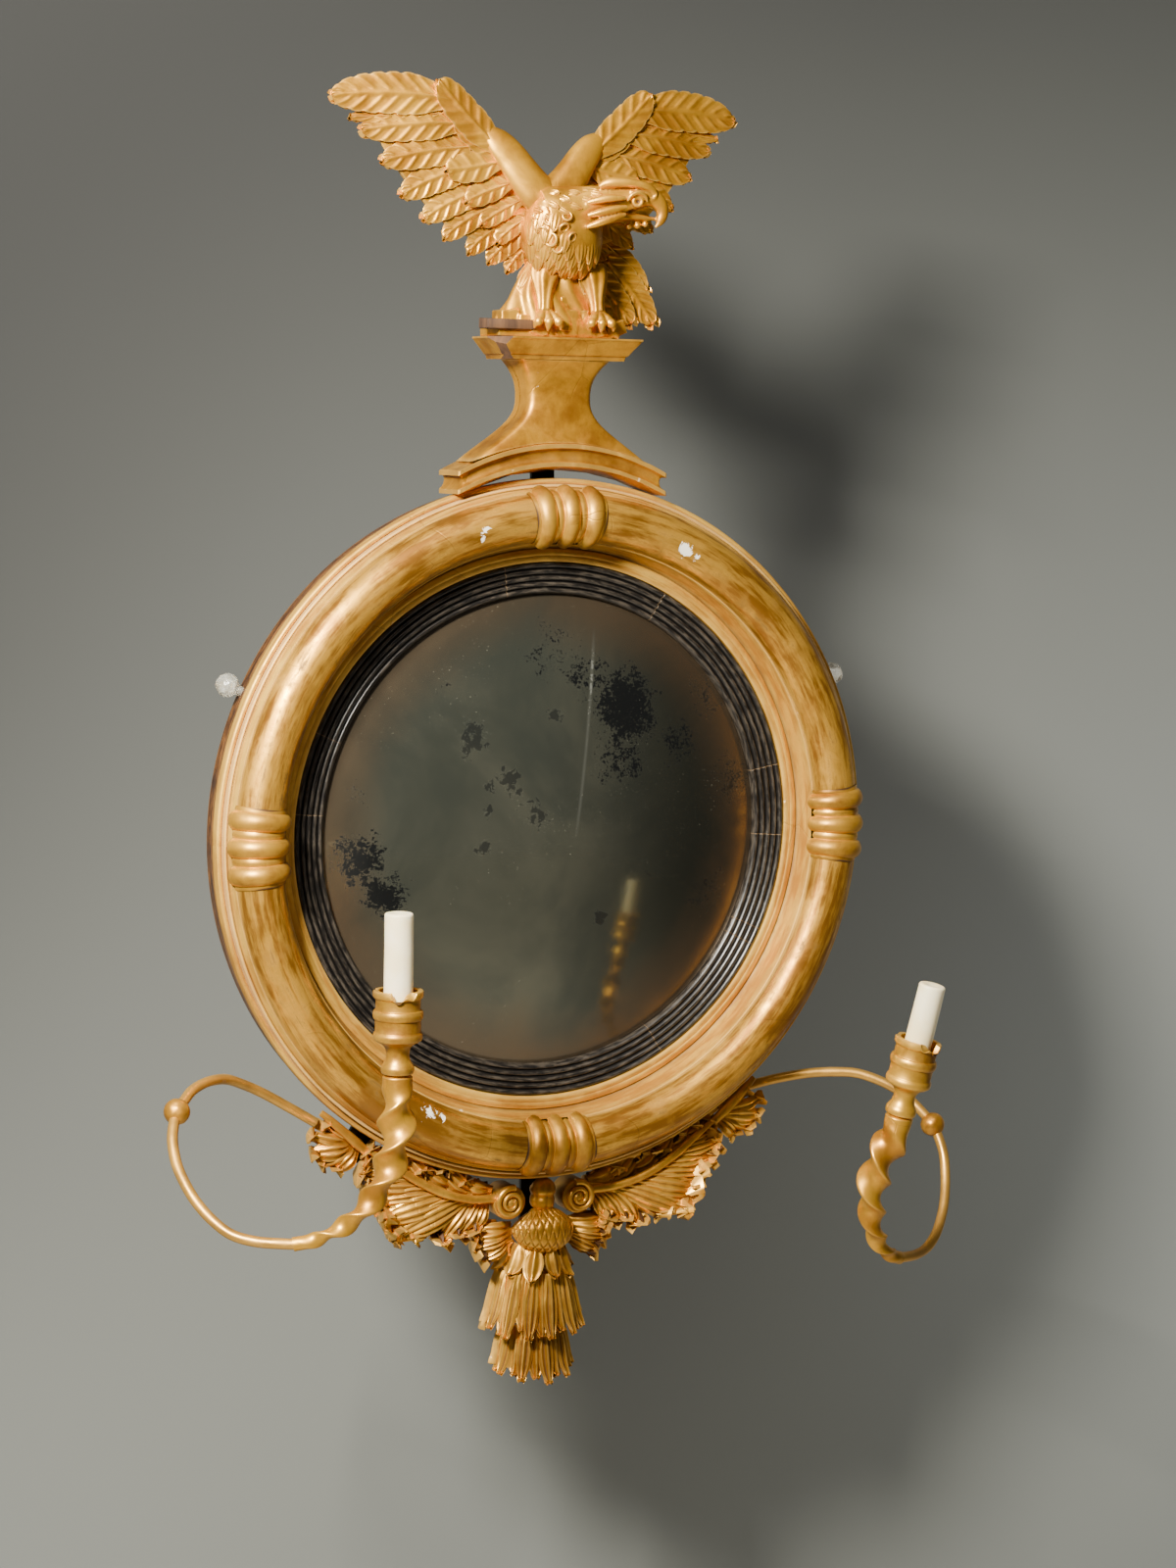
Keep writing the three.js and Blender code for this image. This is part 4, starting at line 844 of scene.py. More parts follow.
def clasp():
    """Three beads across the half-round, at the top of the ring."""
    pitch, half = 20.5, 7.5
    stations = []
    for bead in (-1, 0, 1):
        for k in range(13):
            t = k / 12
            stations.append((bead * pitch + (2 * t - 1) * half * 0.98,
                             0.9 + 4.7 * math.sin(math.pi * t) ** 0.62))
        if bead < 1:
            for k in (1, 2, 3):
                stations.append((bead * pitch + half + (pitch - 2 * half) * k / 4,
                                 1.1 + 0.5 * math.sin(math.pi * k / 4)))
    end = pitch + half
    stations = [(-end - 3.0, 0.35), (-end - 1.2, 0.9), *stations, (end + 1.2, 0.9), (end + 3.0, 0.35)]
    count = len(stations)
    back, front = math.radians(-4), math.radians(184)

    def place(u, v):
        along, proud = stations[min(int(round(u * (count - 1))), count - 1)]
        turn = math.pi / 2 + along / TORUS_CENTRE
        outside = v <= OUTER_SHARE
        share = v / OUTER_SHARE if outside else (v - OUTER_SHARE) / (1 - OUTER_SHARE)
        bend = mix(back, front, share) if outside else mix(front, back, share)
        section = TORUS_RADIUS + (0.3 + proud if outside else -0.6)
        reach = TORUS_CENTRE + section * math.cos(bend)
        lift = max(TORUS_MIDDLE + section * math.sin(bend), FRAME_FRONT + 0.2)
        return at(reach * math.cos(turn), lift, reach * math.sin(turn))

    piece = bent_grid("clasp_top_beads", 56, count, place, wrap=True, closed=True)
    soften(piece, 40)
    return piece


first_clasp = clasp()
for where, degrees in (("left", -90), ("bottom", 180), ("right", 90)):
    twin = copy_of(first_clasp, f"clasp_{where}_beads", Matrix.Rotation(math.radians(degrees), 4, "Y"))
    soften(twin, 40)
    put_on(twin, CLASP, [f"clasp_{where}"])
put_on(first_clasp, CLASP, ["clasp_top"])


# ------------------------------------------------------------------ pedestal

BASE_HALF = 92.0
BASE_END = math.sqrt(289.1 ** 2 - BASE_HALF ** 2)
ARCH = (BASE_HALF ** 2 + 23.0 ** 2) / (2 * 23.0)
SLAB_BOTTOM = 382.5


def arch_at(x):
    return BASE_END + 23.0 - ARCH + math.sqrt(ARCH ** 2 - min(abs(x), ARCH) ** 2)


def round_box(half, back, front, corner, v):
    """A point on a rectangle with rounded front corners, v from 0 to 1 round it from the back left."""
    side = front - back
    total = 2 * half + 2 * side + 2 * half
    run = v * total
    if run < side:
        x, w = -half, back + run
    elif run < side + 2 * half:
        x, w = -half + (run - side), front
    elif run < 2 * side + 2 * half:
        x, w = half, front - (run - side - 2 * half)
    else:
        x, w = half - (run - 2 * side - 2 * half), back
    over_x = max(abs(x) - (half - corner), 0)
    over_w = max(w - (front - corner), 0)
    reach = math.hypot(over_x, over_w)
    if over_x and over_w and reach > corner:
        x = math.copysign(half - corner + over_x / reach * corner, x)
        w = front - corner + over_w / reach * corner
    return x, w


def pedestal_base():
    levels = [
        (0, 0.4), (0.03, 0), (0.2, 0), (0.23, 0.2), (0.27, 0.62), (0.34, 0.86), (0.44, 1.0), (0.56, 1.0),
        (0.66, 0.86), (0.74, 0.62), (0.78, 0.2), (0.8, 0), (0.97, 0), (1.0, 0.3)]

    def place(u, v):
        rise, cove = levels[min(int(round(u * (len(levels) - 1))), len(levels) - 1)]
        x, w = round_box(BASE_HALF - 4.2 * cove, 5, 46 - 4.6 * cove, 1.2, v)
        ragged = 0.5 * noise.noise(Vector((x * 0.09, w * 0.1, rise * 3)))
        return at(x + ragged, w + ragged, arch_at(x) + 19 * rise + 0.3 * ragged)

    piece = bent_grid("pedestal_base_moulded", 181, len(levels), place, wrap=True, closed=True)
    soften(piece, 34)
    return piece


def pedestal_neck():
    levels = 44

    def place(u, v):
        below = min(u / 0.56, 1)
        above = max((u - 0.56) / 0.44, 0)
        flare = (1 - below) ** 2.6
        spread = above ** 2.4
        half = 28 + 50 * flare + 13 * spread
        front = mix(39, 42, flare) + 8 * spread
        x, w = round_box(half, mix(9, 6, flare), front, 5.0, v)
        w -= 3 * (abs(x) / half) ** 4 * (1 if w > 20 else 0)
        return at(x, w, mix(arch_at(x) + 19.5, SLAB_BOTTOM - 0.3, u))

    piece = bent_grid("pedestal_neck_carved", 121, levels + 1, place, wrap=True, closed=True)
    soften(piece, 40)
    return piece


def pedestal_slab():
    levels = [
        (0, 0.0), (0.3, -0.01), (3.2, 0.05), (3.5, 0.12), (3.9, 0.17), (5, 0.24), (8, 0.42), (11, 0.62),
        (13.5, 0.8), (15.6, 0.93), (15.9, 0.985), (16.6, 1.0), (17.4, 0.995), (17.5, 0.98)]

    def place(u, v):
        rise, share = levels[min(int(round(u * (len(levels) - 1))), len(levels) - 1)]
        x, w = round_box(mix(51.5, 64, share), 3, mix(48, 57, share), 0.6, v)
        ragged = 0.35 * noise.noise(Vector((x * 0.12, w * 0.12, rise * 0.2)))
        return at(x + ragged, min(w + ragged, 57), SLAB_BOTTOM + rise)

    piece = bent_grid("pedestal_slab_moulded", 161, len(levels), place, wrap=True, closed=True)
    chip = Vector((-0.80, -0.42, 0.36)).normalized()
    split = Vector((-0.70, -0.2, -0.68)).normalized()
    with all_in_edit(piece):
        for normal, point in ((chip, at(-59.5, 46, 395)), (split, at(-55, 30, 385.5))):
            bpy.ops.mesh.select_all(action="SELECT")
            bpy.ops.mesh.bisect(plane_co=point, plane_no=normal, use_fill=True, clear_outer=True)
        face_outwards()
    piece.data.materials.append(PEDESTAL)
    piece.data.materials.append(RAW)
    for face in piece.data.polygons:
        on_chip = face.normal.x < -0.6 and face.normal.z > -0.2 and abs(face.normal.y) > 0.3
        if on_chip or face.normal.dot(split) > 0.995:
            face.material_index = 1
    soften(piece, 30)
    return piece


put_on(pedestal_base(), PEDESTAL, ["pedestal_base"])
put_on(pedestal_neck(), PEDESTAL, ["pedestal_neck"])
put_on(pedestal_slab(), None, ["pedestal_slab"])


# ------------------------------------------------------------------ candle arms

ROD_ROUTE = [
    (195, 9, -231), (219, 12, -216), (244, 19, -201), (264.5, 28, -190.5), (281, 37, -184), (300, 51, -182),
    (316, 64, -184.5), (326, 75, -189), (336.6, 87, -195.5), (342.5, 97, -204), (346.5, 107, -214),
    (347.5, 120, -228), (345, 134, -241), (340, 147, -253), (332, 160, -264), (321, 171, -273),
    (306, 181.5, -277), (290, 190, -278), (277, 196, -278), (268, 200, -276)]
HORN_ROUTE = [
    (281, 194.5, -278.3), (267, 201, -275), (257, 205, -270), (247, 208, -265), (237, 211, -257),
    (228, 213, -247), (220, 214, -235), (214, 214, -223), (210, 214, -211), (208, 214, -198),
    (207, 213.6, -184), (206.7, 213, -170), (206.7, 213, -157), (206.7, 213, -151)]
HORN_ROUTE_BENT = HORN_ROUTE[:-4] + [(208.0, 214.3, -184), (208.9, 214.9, -170), (207.5, 213.7, -157),
                                     (206.7, 213, -151)]
NOZZLE_FOOT = (206.7, 213.0, -151.0)
SAGGED = (Matrix.Translation(ARM_ROOT * 0.001) @ Matrix.Rotation(math.radians(SAG), 4, SAG_AXIS)
          @ Matrix.Translation(ARM_ROOT * -0.001))


def horn_piece(route):
    """A lens-shaped section that turns six half turns while it swells."""
    steps = 150
    stops = travel(route, steps, (0, 0, 1))

    def place(u, v):
        point, up, out, share = stops[min(int(round(u * steps)), steps)]
        swell = mix(5.4, 13.6, smooth(share, 0, 0.78))
        top = smooth(share, 0.84, 0.97)
        end = 1 - 0.25 * smooth(share, 0.985, 1.0)
        flat = mix(mix(0.98, 0.60, smooth(share, 0.02, 0.14)), 0.98, top)
        long = mix(swell, 11.2, top) * end
        turn = math.pi * 6 * share ** 0.86 + 0.5
        angle = v * math.tau
        radius = 1.0 + (1 - top) * smooth(share, 0.02, 0.14) * 0.10 * abs(math.cos(angle)) ** 7
        a = long * radius * math.cos(angle)
        b = long * flat * math.copysign(abs(math.sin(angle)) ** 0.94, math.sin(angle))
        across = a * math.cos(turn) - b * math.sin(turn)
        lift = a * math.sin(turn) + b * math.cos(turn)
        return at(*(point + up * across + out * lift))

    piece = bent_grid("twisted_horn_left_carved", 41, steps + 1, place, wrap=True, closed=True)
    soften(piece, 55)
    return piece


def rod_ball():
    middle = at(336.6, 87, -195.5)
    deselect()
    bpy.ops.mesh.primitive_uv_sphere_add(segments=40, ring_count=24, radius=0.0102, location=middle)
    piece = named("rod_ball_left_turned")
    settle(piece)
    apply_modifier(piece, "SUBSURF", levels=1, render_levels=1)
    for vertex in piece.data.vertices:
        away = vertex.co - middle
        vertex.co += away.normalized() * 0.00025 * noise.noise(vertex.co * 260)
    soften(piece, 60)
    return piece


NOZZLE_OUTLINE = [
    (0, 34), (11.35, 34), (11.35, 43), (14.6, 43), (14.6, 62.4), (15.1, 63), (18.2, 63), (18.8, 62.5),
    (18.9, 60.5), (18.8, 58.6), (17.9, 57.4), (17.0, 56.6), (16.8, 55.8), (16.8, 49.4), (17.1, 48.6),
    (18.1, 48.0), (18.7, 46.6), (18.9, 44.8), (18.7, 43.0), (18.1, 41.6), (17.3, 41.0), (17.2, 39.8),
    (17.1, 32.4), (17.5, 31.6), (18.2, 30.8), (18.5, 29.0), (18.4, 27.2), (17.8, 25.8), (15.4, 24.2),
    (12.4, 22.8), (10.4, 20.8), (9.2, 18.6), (8.7, 16.0), (8.8, 13.0), (9.6, 10.0), (11.2, 7.4), (12.3, 5.6),
    (12.5, 4.2), (12.4, 2.2), (12.0, 0.9), (11.5, 0.4), (3.4, 0.4), (3.4, 9.4), (0, 9.4)]


def nozzle_piece():
    piece = turned_up("nozzle_left_turned", NOZZLE_OUTLINE, 72, 34)
    for vertex in piece.data.vertices:
        height = vertex.co.z * 1000
        reach = math.hypot(vertex.co.x, vertex.co.y) * 1000
        if height > 57 and reach > 14.2:
            nick = noise.noise(Vector((vertex.co.x, vertex.co.y, 0)) * 90 + Vector((3, 1, 0)))
            if nick > 0.18:
                vertex.co.z -= 0.0045 * (nick - 0.18) * 4 * smooth(height, 57, 63)
    soften(piece, 34)
    return piece


def candle_piece(name, shown, melt):
    top = 63 + shown
    outline = [(0, 34.3), (10.5, 34.3), (11.0, 34.8)]
    outline += [(11.0 - 0.25 * i / 10, mix(36, top - 2.4, i / 10)) for i in range(11)]
    outline += [(10.6, top - 1.1), (9.9, top - 0.3), (8.6, top), (5.5, top - 0.5), (2.6, top - 1.1),
                (1.0, top - 1.4), (0, top - 1.4)]
    piece = turned_up(name, outline, 48, 40)
    for vertex in piece.data.vertices:
        height = vertex.co.z * 1000
        if height > 64:
            wave = noise.noise(vertex.co * 34 + Vector((melt, 0, 0)))
            vertex.co.x *= 1 + 0.02 * wave
            vertex.co.y *= 1 + 0.02 * wave
    soften(piece, 40)
    return piece


def bent_rod(side):
    """The iron rod with its flat inner end and the eye that turns on the strap's rivet."""
    rod = tube("rod", ROD_ROUTE, 4.2, 16, 6)
    if side == "right":
        rod.data.transform(SAGGED)
    root = Vector((ARM_ROOT.x, PIVOT.y, ARM_ROOT.z))
    reach = (root - PIVOT).length
    lean = math.atan2(root.z - PIVOT.z, root.x - PIVOT.x)
    deselect()
    bpy.ops.mesh.primitive_cube_add(size=1, location=mm(reach / 2 + 2, -6.3, 0), scale=mm(reach - 6, 3.0, 9.0))
    flat = named("flat")
    settle(flat)
    apply_modifier(flat, "BEVEL", width=0.0008, segments=2)
    deselect()
    bpy.ops.mesh.primitive_torus_add(location=mm(0, -6.3, 0), rotation=(math.pi / 2, 0, 0), major_segments=32,
                                     minor_segments=10, major_radius=0.0049, minor_radius=0.0018)
    eye = named("eye")
    settle(eye)
    end = joined("end", [flat, eye])
    end.data.transform(Matrix.Translation(mm(PIVOT.x, 0, PIVOT.z)) @ Matrix.Rotation(-lean, 4, "Y"))
    return joined(f"arm_rod_{side}_bent", [rod, end])


def place_arm(side, shown):
    """Builds the arm on the left and moves a copy for the right, dropped about its root."""
    left = side == "left"
    rods = bent_rod(side)
    ball = rod_ball()
    ball.name = f"rod_ball_{side}_turned"
    horn = horn_piece(HORN_ROUTE if left else HORN_ROUTE_BENT)
    horn.name = f"twisted_horn_{side}_carved"
    nozzle = nozzle_piece()
    nozzle.name = f"nozzle_{side}_turned"
    candle = candle_piece(f"candle_{side}_stub", shown, 1.0 if left else 5.0)
    seat = Matrix.Rotation(math.radians(0.0 if left else -SEAT_BENT_BACK), 4, SAG_AXIS)
    for piece in (nozzle, candle):
        piece.data.transform(Matrix.Translation(at(*NOZZLE_FOOT)) @ seat)
    for piece in (ball, horn, nozzle, candle):
        if not left:
            piece.data.transform(SAGGED)
    for piece in (rods, ball, horn, nozzle, candle):
        if left:
            piece.data.transform(MIRROR_X)
            tidy_faces(piece, 1e-7)
        soften(piece, 45)
    put_on(rods, ROD, [f"arm_rod_{side}"], f"arm_{side}")
    put_on(ball, ROD, [f"rod_ball_{side}"], f"arm_{side}")
    put_on(horn, HORN, [f"twisted_horn_{side}"], f"arm_{side}")
    put_on(nozzle, NOZZLE, [f"nozzle_{side}"], f"nozzle_{side}_body")
    put_on(candle, WAX, [f"candle_{side}"], f"candle_{side}_body")


place_arm("left", 58)
place_arm("right", 46)


# ------------------------------------------------------------------ eagle

def limb(name, route, section, upright=(0, 0, 1), sides=40, steps=40):
    """A body swept along a route; section(share, angle) gives its two half widths."""
    stops = travel(route, steps, upright)

    def place(u, v):
        point, up, out, share = stops[min(int(round(u * steps)), steps)]
        a, b = section(share, v * math.tau)
        return at(*(point + up * a * math.cos(v * math.tau) + out * b * math.sin(v * math.tau)))

    return bent_grid(name, sides + 1, steps + 1, place, wrap=True, closed=True)


def along_list(values, t):
    return spline([(v, 0, 0) for v in values], t)[0]


def ball(x, proud, z, radius, squash=(1, 1, 1)):
    deselect()
    bpy.ops.mesh.primitive_uv_sphere_add(segments=24, ring_count=14, radius=radius * 0.001,
                                         location=at(x, proud, z), scale=squash)
    piece = named("ball")
    settle(piece)
    return piece


def curl_ring(x, proud, z, radius, thick, tilt=0.0):
    deselect()
    bpy.ops.mesh.primitive_torus_add(location=at(x, proud, z), rotation=(math.pi / 2, 0, tilt),
                                     major_segments=28, minor_segments=10, major_radius=radius * 0.001,
                                     minor_radius=thick * 0.001)
    piece = named("ring")
    settle(piece)
    return piece


def cast_solid(name, pieces, voxel=0.9, smoothing=3):
    """Joins shapes that run into each other into one skin."""
    piece = joined(name, pieces)
    apply_modifier(piece, "REMESH", mode="VOXEL", voxel_size=voxel * 0.001)
    apply_modifier(piece, "SMOOTH", factor=0.5, iterations=smoothing)
    return piece


def plume(width, length, ribs=3):
    """One small breast feather lying flat at the origin, its tip towards -Y, its face towards +Z."""
    def place(u, v):
        s = 2 * v - 1
        half = width / 2 * (math.sin(math.pi * (0.12 + 0.84 * u)) ** 0.6)
        groove = 0.4 * math.cos(math.pi * ribs * 2 * s * (1 - 0.25 * u)) * smooth(u, 0.15, 0.5)
        height = 1.7 * smooth(u, 0, 0.75) - 1.2 * s * s - 0.7 * smooth(u, 0.85, 1.0) + groove
        return mm(s * half, length * (0.35 - u) + 1.2 * s * s, height - 0.5)

    piece = bent_grid("plume", 13, 13, place)
    if sum(face.normal.z for face in piece.data.polygons) < 0:
        turn_over(piece)
    apply_modifier(piece, "SOLIDIFY", thickness=0.0012, offset=-1.0)
    return piece


def curl():
    """A small incised curl, a ring that sinks into the body at one side."""
    piece = curl_ring(0, 0, 0, 3.9, 1.1)
    piece.data.transform(Matrix.Translation(mm(0, 0, 0.5)) @ Matrix.Rotation(math.radians(66), 4, "X"))
    return piece


def lay_plumes(body, pattern, spots):
    """Lays copies of a feather on a body: spots are (x, z, lean in degrees, size)."""
    laid = []
    for x, z, lean, size in spots:
        struck, spot, normal, _ = body.ray_cast(at(x, 200, z), Vector((0, 1, 0)))
        if not struck:
            continue
        down = Vector((math.sin(math.radians(lean)), 0, -math.cos(math.radians(lean))))
        down = (down - normal * down.dot(normal)).normalized()
        side = normal.cross(down)
        turn = Matrix((side, -down, normal)).transposed().to_4x4()
        if turn.determinant() < 0:
            turn = Matrix((-side, -down, normal)).transposed().to_4x4()
        laid.append(copy_of(pattern, "plume", Matrix.Translation(spot) @ turn @ Matrix.Scale(size, 4)))
    return laid


NECK = [(-20, 52, 493), (0, 59, 501), (20, 66, 506), (34, 70, 508.5), (44, 73, 510.5), (50, 75, 511)]


def eagle_body():
    breast_sizes = (15, 25, 30, 33, 33.5, 33, 31, 26, 18, 7)
    breast = limb("breast", [(0, 30, 452), (-1, 38, 466), (-7, 47, 484), (-12, 53, 500), (-10, 56, 516)],
                  lambda t, a: (along_list(breast_sizes, t), 0.78 * along_list(breast_sizes, t)),
                  (1, 0, 0), 56, 44)
    neck_sizes = (25, 24, 20.5, 17.2, 15.0, 13.4, 12.2, 11.2, 10.0, 8.6)

    def neck_section(t, a):
        size = along_list(neck_sizes, t)
        flute = 1 + 0.07 * math.cos(8 * a + 0.5) * smooth(t, 0.3, 0.5) * (1 - smooth(t, 0.85, 0.98))
        return size * flute, size * mix(0.88, 0.7, smooth(t, 0.5, 0.9)) * flute

    neck = limb("neck", NECK, neck_section, (0, 0, 1), 72, 90)
    beak = limb("upper bill", [(42, 73, 510), (51, 75.5, 512), (59.5, 77, 511), (65.6, 78, 505.4),
                               (67, 78, 498.6),
                               (64.6, 78, 492), (61, 77.5, 488)],
                lambda t, a: (along_list((9.6, 8.8, 7.7, 6.4, 5.2, 4.0, 0.9), t),
                              along_list((8, 6.8, 5.9, 5.3, 4.5, 3.4, 0.9), t)), (0, 0, 1), 32, 60)
    jaw = limb("lower bill", [(18, 68, 497), (34, 71, 496), (46, 73.5, 495.6), (56, 75, 495),
                              (62.5, 76.2, 494.8)],
               lambda t, a: (along_list((8.5, 5.4, 3.3, 2.4, 1.2), t) * (1 + 0.06 * math.cos(6 * a)),
                             along_list((10, 7.5, 5.6, 3.8, 1.4), t)), (0, 0, 1), 32, 40)
    flutes = [limb("flute", [(2, p0, z0), (16, p0 + 5.5, z1), (32, p0 + 9, z2)],
                   lambda t, a: ((3.4 * math.sin(math.pi * mix(0.12, 0.9, t)) ** 0.7,) * 2), (0, 0, 1), 16, 24)
              for p0, z0, z1, z2 in ((76.5, 495, 499, 502.6), (75, 486, 491.5, 497), (74.5, 505, 508.5, 509.6))]
    comb = limb("comb", [(14, 72, 518), (20, 75, 521.2), (32, 79, 522), (44, 81.5, 521), (54, 82, 518.5),
                         (58.5, 81.6, 514.5)],
                lambda t, a: ((along_list((2.6, 4.4, 4.0, 3.4, 3.2, 2.4), t),) * 2), (0, 0, 1), 20, 30)
    lid = limb("lid", [(34, 81.5, 507), (37, 83.6, 512.2), (43, 84.6, 514.2), (48.6, 84.2, 512),
                       (51, 83.4, 507.4)],
               lambda t, a: ((1.7 * math.sin(math.pi * (0.1 + 0.8 * t)) + 0.3,) * 2), (0, 0, 1), 12, 24)
    nostril = curl_ring(55.4, 81.4, 513.5, 3.6, 1.6, -0.35)
    eye = curl_ring(43.4, 81.4, 507.6, 3.4, 1.7, -0.3)
    beard = [ball(48, 72, 489.6, 3.2), ball(54, 74, 490.4, 2.5), ball(41.5, 70, 488.6, 2.8)]

    def thighs_section(t, a):
        drape = 1 + 0.07 * t * math.cos(9 * a + 2.5 * math.sin(4 * t))
        fold = 1 + 0.12 * smooth(t, 0, 0.4) * math.cos(11 * a + 3 * math.sin(5 * t))
        return along_list((24, 31, 40, 48), t) * drape, along_list((14, 15, 16, 18), t) * fold

    thighs = limb("belly and thighs", [(-4, 31, 466), (-5, 32, 446), (-6, 31.5, 426), (-7, 30, 407)],
                  thighs_section, (1, 0, 0), 96, 40)
    body = cast_solid("eagle_body_carved",
                      [breast, neck, beak, jaw, comb, lid, nostril, eye, thighs, *flutes, *beard], 0.85, 2)
    rng = random.Random(7)
    breast_spots = []
    for row in range(7):
        z = 494 - row * 7.4
        for i in range(9):
            x = -42 + i * 9.6 + (4.8 if row % 2 else 0) + rng.uniform(-0.8, 0.8)
            if z > 484 - 0.3 * (x + 20) and x > -20:
                continue
            breast_spots.append((x, z, 0.55 * (x + 2) + rng.uniform(-6, 6), rng.uniform(0.95, 1.12)))
    pattern = plume(12.0, 21.0, 2)
    small = plume(7.5, 13.0, 2)
    ring = curl()
    nape = ((-33, 508), (-25, 513), (-36, 499), (-28, 504), (-18, 509), (-10, 513), (-30, 494), (-20, 499),
            (-10, 503), (0, 508), (2, 516), (-8, 519), (8, 513))
    nape_spots = [(x, z, 62 + rng.uniform(-14, 14), rng.uniform(0.9, 1.15)) for x, z in nape]
    curls = ((-27, 491, 20, 1.1), (-31, 482, 160, 1.0), (-25, 476, 60, 1.25), (-17, 485, 200, 1.0),
             (-15, 494, 40, 0.9), (-36, 489, 100, 0.9), (-19, 470, 10, 1.0), (-9, 478, 250, 0.9))
    plumes = [laid for feathers, spots in ((pattern, breast_spots), (small, nape_spots), (ring, curls))
              for laid in lay_plumes(body, feathers, spots)]
    body = joined("eagle_body_carved", [body, *plumes])
    for spare in (pattern, small, ring):
        bpy.data.objects.remove(spare)
    soften(body, 50)
    return body


def feather(name, root, tip, width, bow=0.0, lift=0.0, tilt=1.4, barbs=6, thick=3.2, depth=1.15, height=None,
            end=5.0, along=84):
    """One flight feather: a quill with slanting barbs cut each side, its tip rounded and notched.
    root and tip are (x, z); height(x, z) says how far off the wall it lies."""
    root, tip = Vector(root), Vector(tip)
    run = tip - root
    length = run.length
    forward = run / length
    side = Vector((-forward.y, forward.x))

    def place(u, v):
        s = 2 * v - 1
        body = (0.5 + 0.5 * smooth(u, 0.0, 0.4)) * (1 - max(u, 0.0) ** end) ** 0.5
        slant = (u - 0.17 * abs(s)) * barbs + (0.5 if s > 0 else 0.0)
        ripple = (0.5 + 0.5 * math.cos(math.tau * slant)) ** 3.5
        away = smooth(abs(s), 0.06, 0.26) * smooth(u, 0.03, 0.14) * (1 - 0.5 * smooth(abs(s), 0.7, 1.0))
        notch = (0.5 + 0.5 * math.cos(math.tau * (slant - 0.12))) ** 4
        half = width / 2 * body * (1 - 0.085 * notch * smooth(abs(s), 0.7, 1.0) * smooth(u, 0.25, 0.4))
        bend = bow * math.sin(math.pi * u * 0.9)
        spot = root + forward * (length * u) + side * (s * half + bend)
        quill = 1.25 * math.exp(-(s * 9.0) ** 2) * (1 - 0.55 * u)
        rise = height(spot.x, spot.y) + lift + tilt * s + quill
        rise += depth * (ripple - 0.4) * away - 0.8 * abs(s) ** 2.2 + 0.9 * smooth(u, 0.8, 1.0)
        return at(spot.x, rise, spot.y)

    piece = bent_grid(name, 27, along + 1, place)
    return thickened(piece, thick, 50)


WING_TOP = [
    (-28, 520), (-44, 535), (-64, 560), (-82, 577), (-97, 588), (-111, 594), (-134, 598), (-150, 600),
    (-168, 598), (-187, 590), (-196, 577)]
WING_FOOT = [
    (-36, 452), (-49, 457), (-60, 464), (-78, 468), (-97, 474), (-115, 488), (-130, 502), (-150, 526),
    (-165, 550), (-180, 561), (-196, 573)]


def edge_at(table, x):
    for (x0, z0), (x1, z1) in zip(table, table[1:]):
        if x >= x1:
            return mix(z0, z1, min(max((x0 - x) / (x0 - x1), 0), 1))
    return table[-1][1]


def wing_rise(x, z):
    """How far the left wing's face stands off the wall."""
    u = min(max((-24 - x) / 172, 0.0), 1.0)
    top = edge_at(WING_TOP, x)
    v = min(max((top - z) / max(top - edge_at(WING_FOOT, x), 1), 0), 1)
    return mix(40, 24, u ** 0.7) + 8 * math.sin(math.pi * u) - 12 * v * (1 - u) + 1.0


def wing():
    """The left wing: a web, flight feathers, coverts over their roots, and the smooth bent arm."""
    def web_place(u, v):
        x = mix(-20, -184, u)
        top, foot = edge_at(WING_TOP, x) - mix(9, 8, u), edge_at(WING_FOOT, x) + mix(9, 13, u)
        z = mix(top, min(foot, top - 2), v)
        return at(x, wing_rise(x, z) - 1.2 + 0.8 * noise.noise(Vector((x, z, 0)) * 0.08), z)

    web = thickened(bent_grid("web", 25, 45, web_place), 4.0, 50)
    flight = [((-98, 580), (-196, 577.5), 32, -3.5, 3.2, 8), ((-88, 563), (-172, 553.5), 27, -2.5, 2.4, 7),
              ((-84, 546), (-154.5, 532), 26, -2, 1.8, 6), ((-78, 533), (-138, 507.5), 25, -3, 1.2, 6),
              ((-64, 518), (-119.5, 490.5), 24, -3, 0.8, 6), ((-54, 506), (-102.5, 477), 21, -3, 0.4, 5),
              ((-42, 495), (-81, 467), 20, -3, 0.0, 5), ((-32, 486), (-63, 461), 20, -2, -0.4, 4),
              ((-24, 478), (-46, 455), 18, -2, -0.8, 4)]
    pieces = [feather("flight", root, tip, width, bow, lift, barbs=barbs, height=wing_rise)
              for root, tip, width, bow, lift, barbs in flight]
    pieces.append(feather("strip", (-100, 570), (-181, 563.5), 12, 0, 1.0, height=wing_rise, depth=0.5))
    coverts = [
        ((-58, 543), (-112, 593.5), 27, 2.0, 4.6, 6, 1.0), ((-58, 536), (-104, 528), 24, 1.0, 4.4, 4, 1.0),
        ((-60, 541), (-97, 566), 20, 1.0, 3.0, 4, 0.9), ((-48, 521), (-86, 505), 19, -1, 3.6, 4, 0.9),
        ((-40, 508), (-72, 489), 17, -1, 3.0, 4, 0.9), ((-33, 496), (-58, 476), 15, -1, 2.4, 3, 0.9)]
    pieces += [feather("covert", root, tip, width, bow, lift, barbs=barbs, depth=depth, height=wing_rise,
                       end=6.5, along=44)
               for root, tip, width, bow, lift, barbs, depth in coverts]
    arm = limb("arm of the wing", [(-12, 47, 505), (-28, 48.5, 513), (-41, 47.5, 527), (-51, 45, 540),
                                   (-61, 42.5, 550.5), (-74, 40.5, 562)],
               lambda t, a: (along_list((17, 16, 14.5, 13.0, 10.5, 3.0), t),
                             along_list((12, 10, 8, 6.5, 5, 1.5), t)), (0, 0, 1), 36, 40)
    soften(arm, 60)
    return joined("wing_left_carved", pieces + [web, arm])


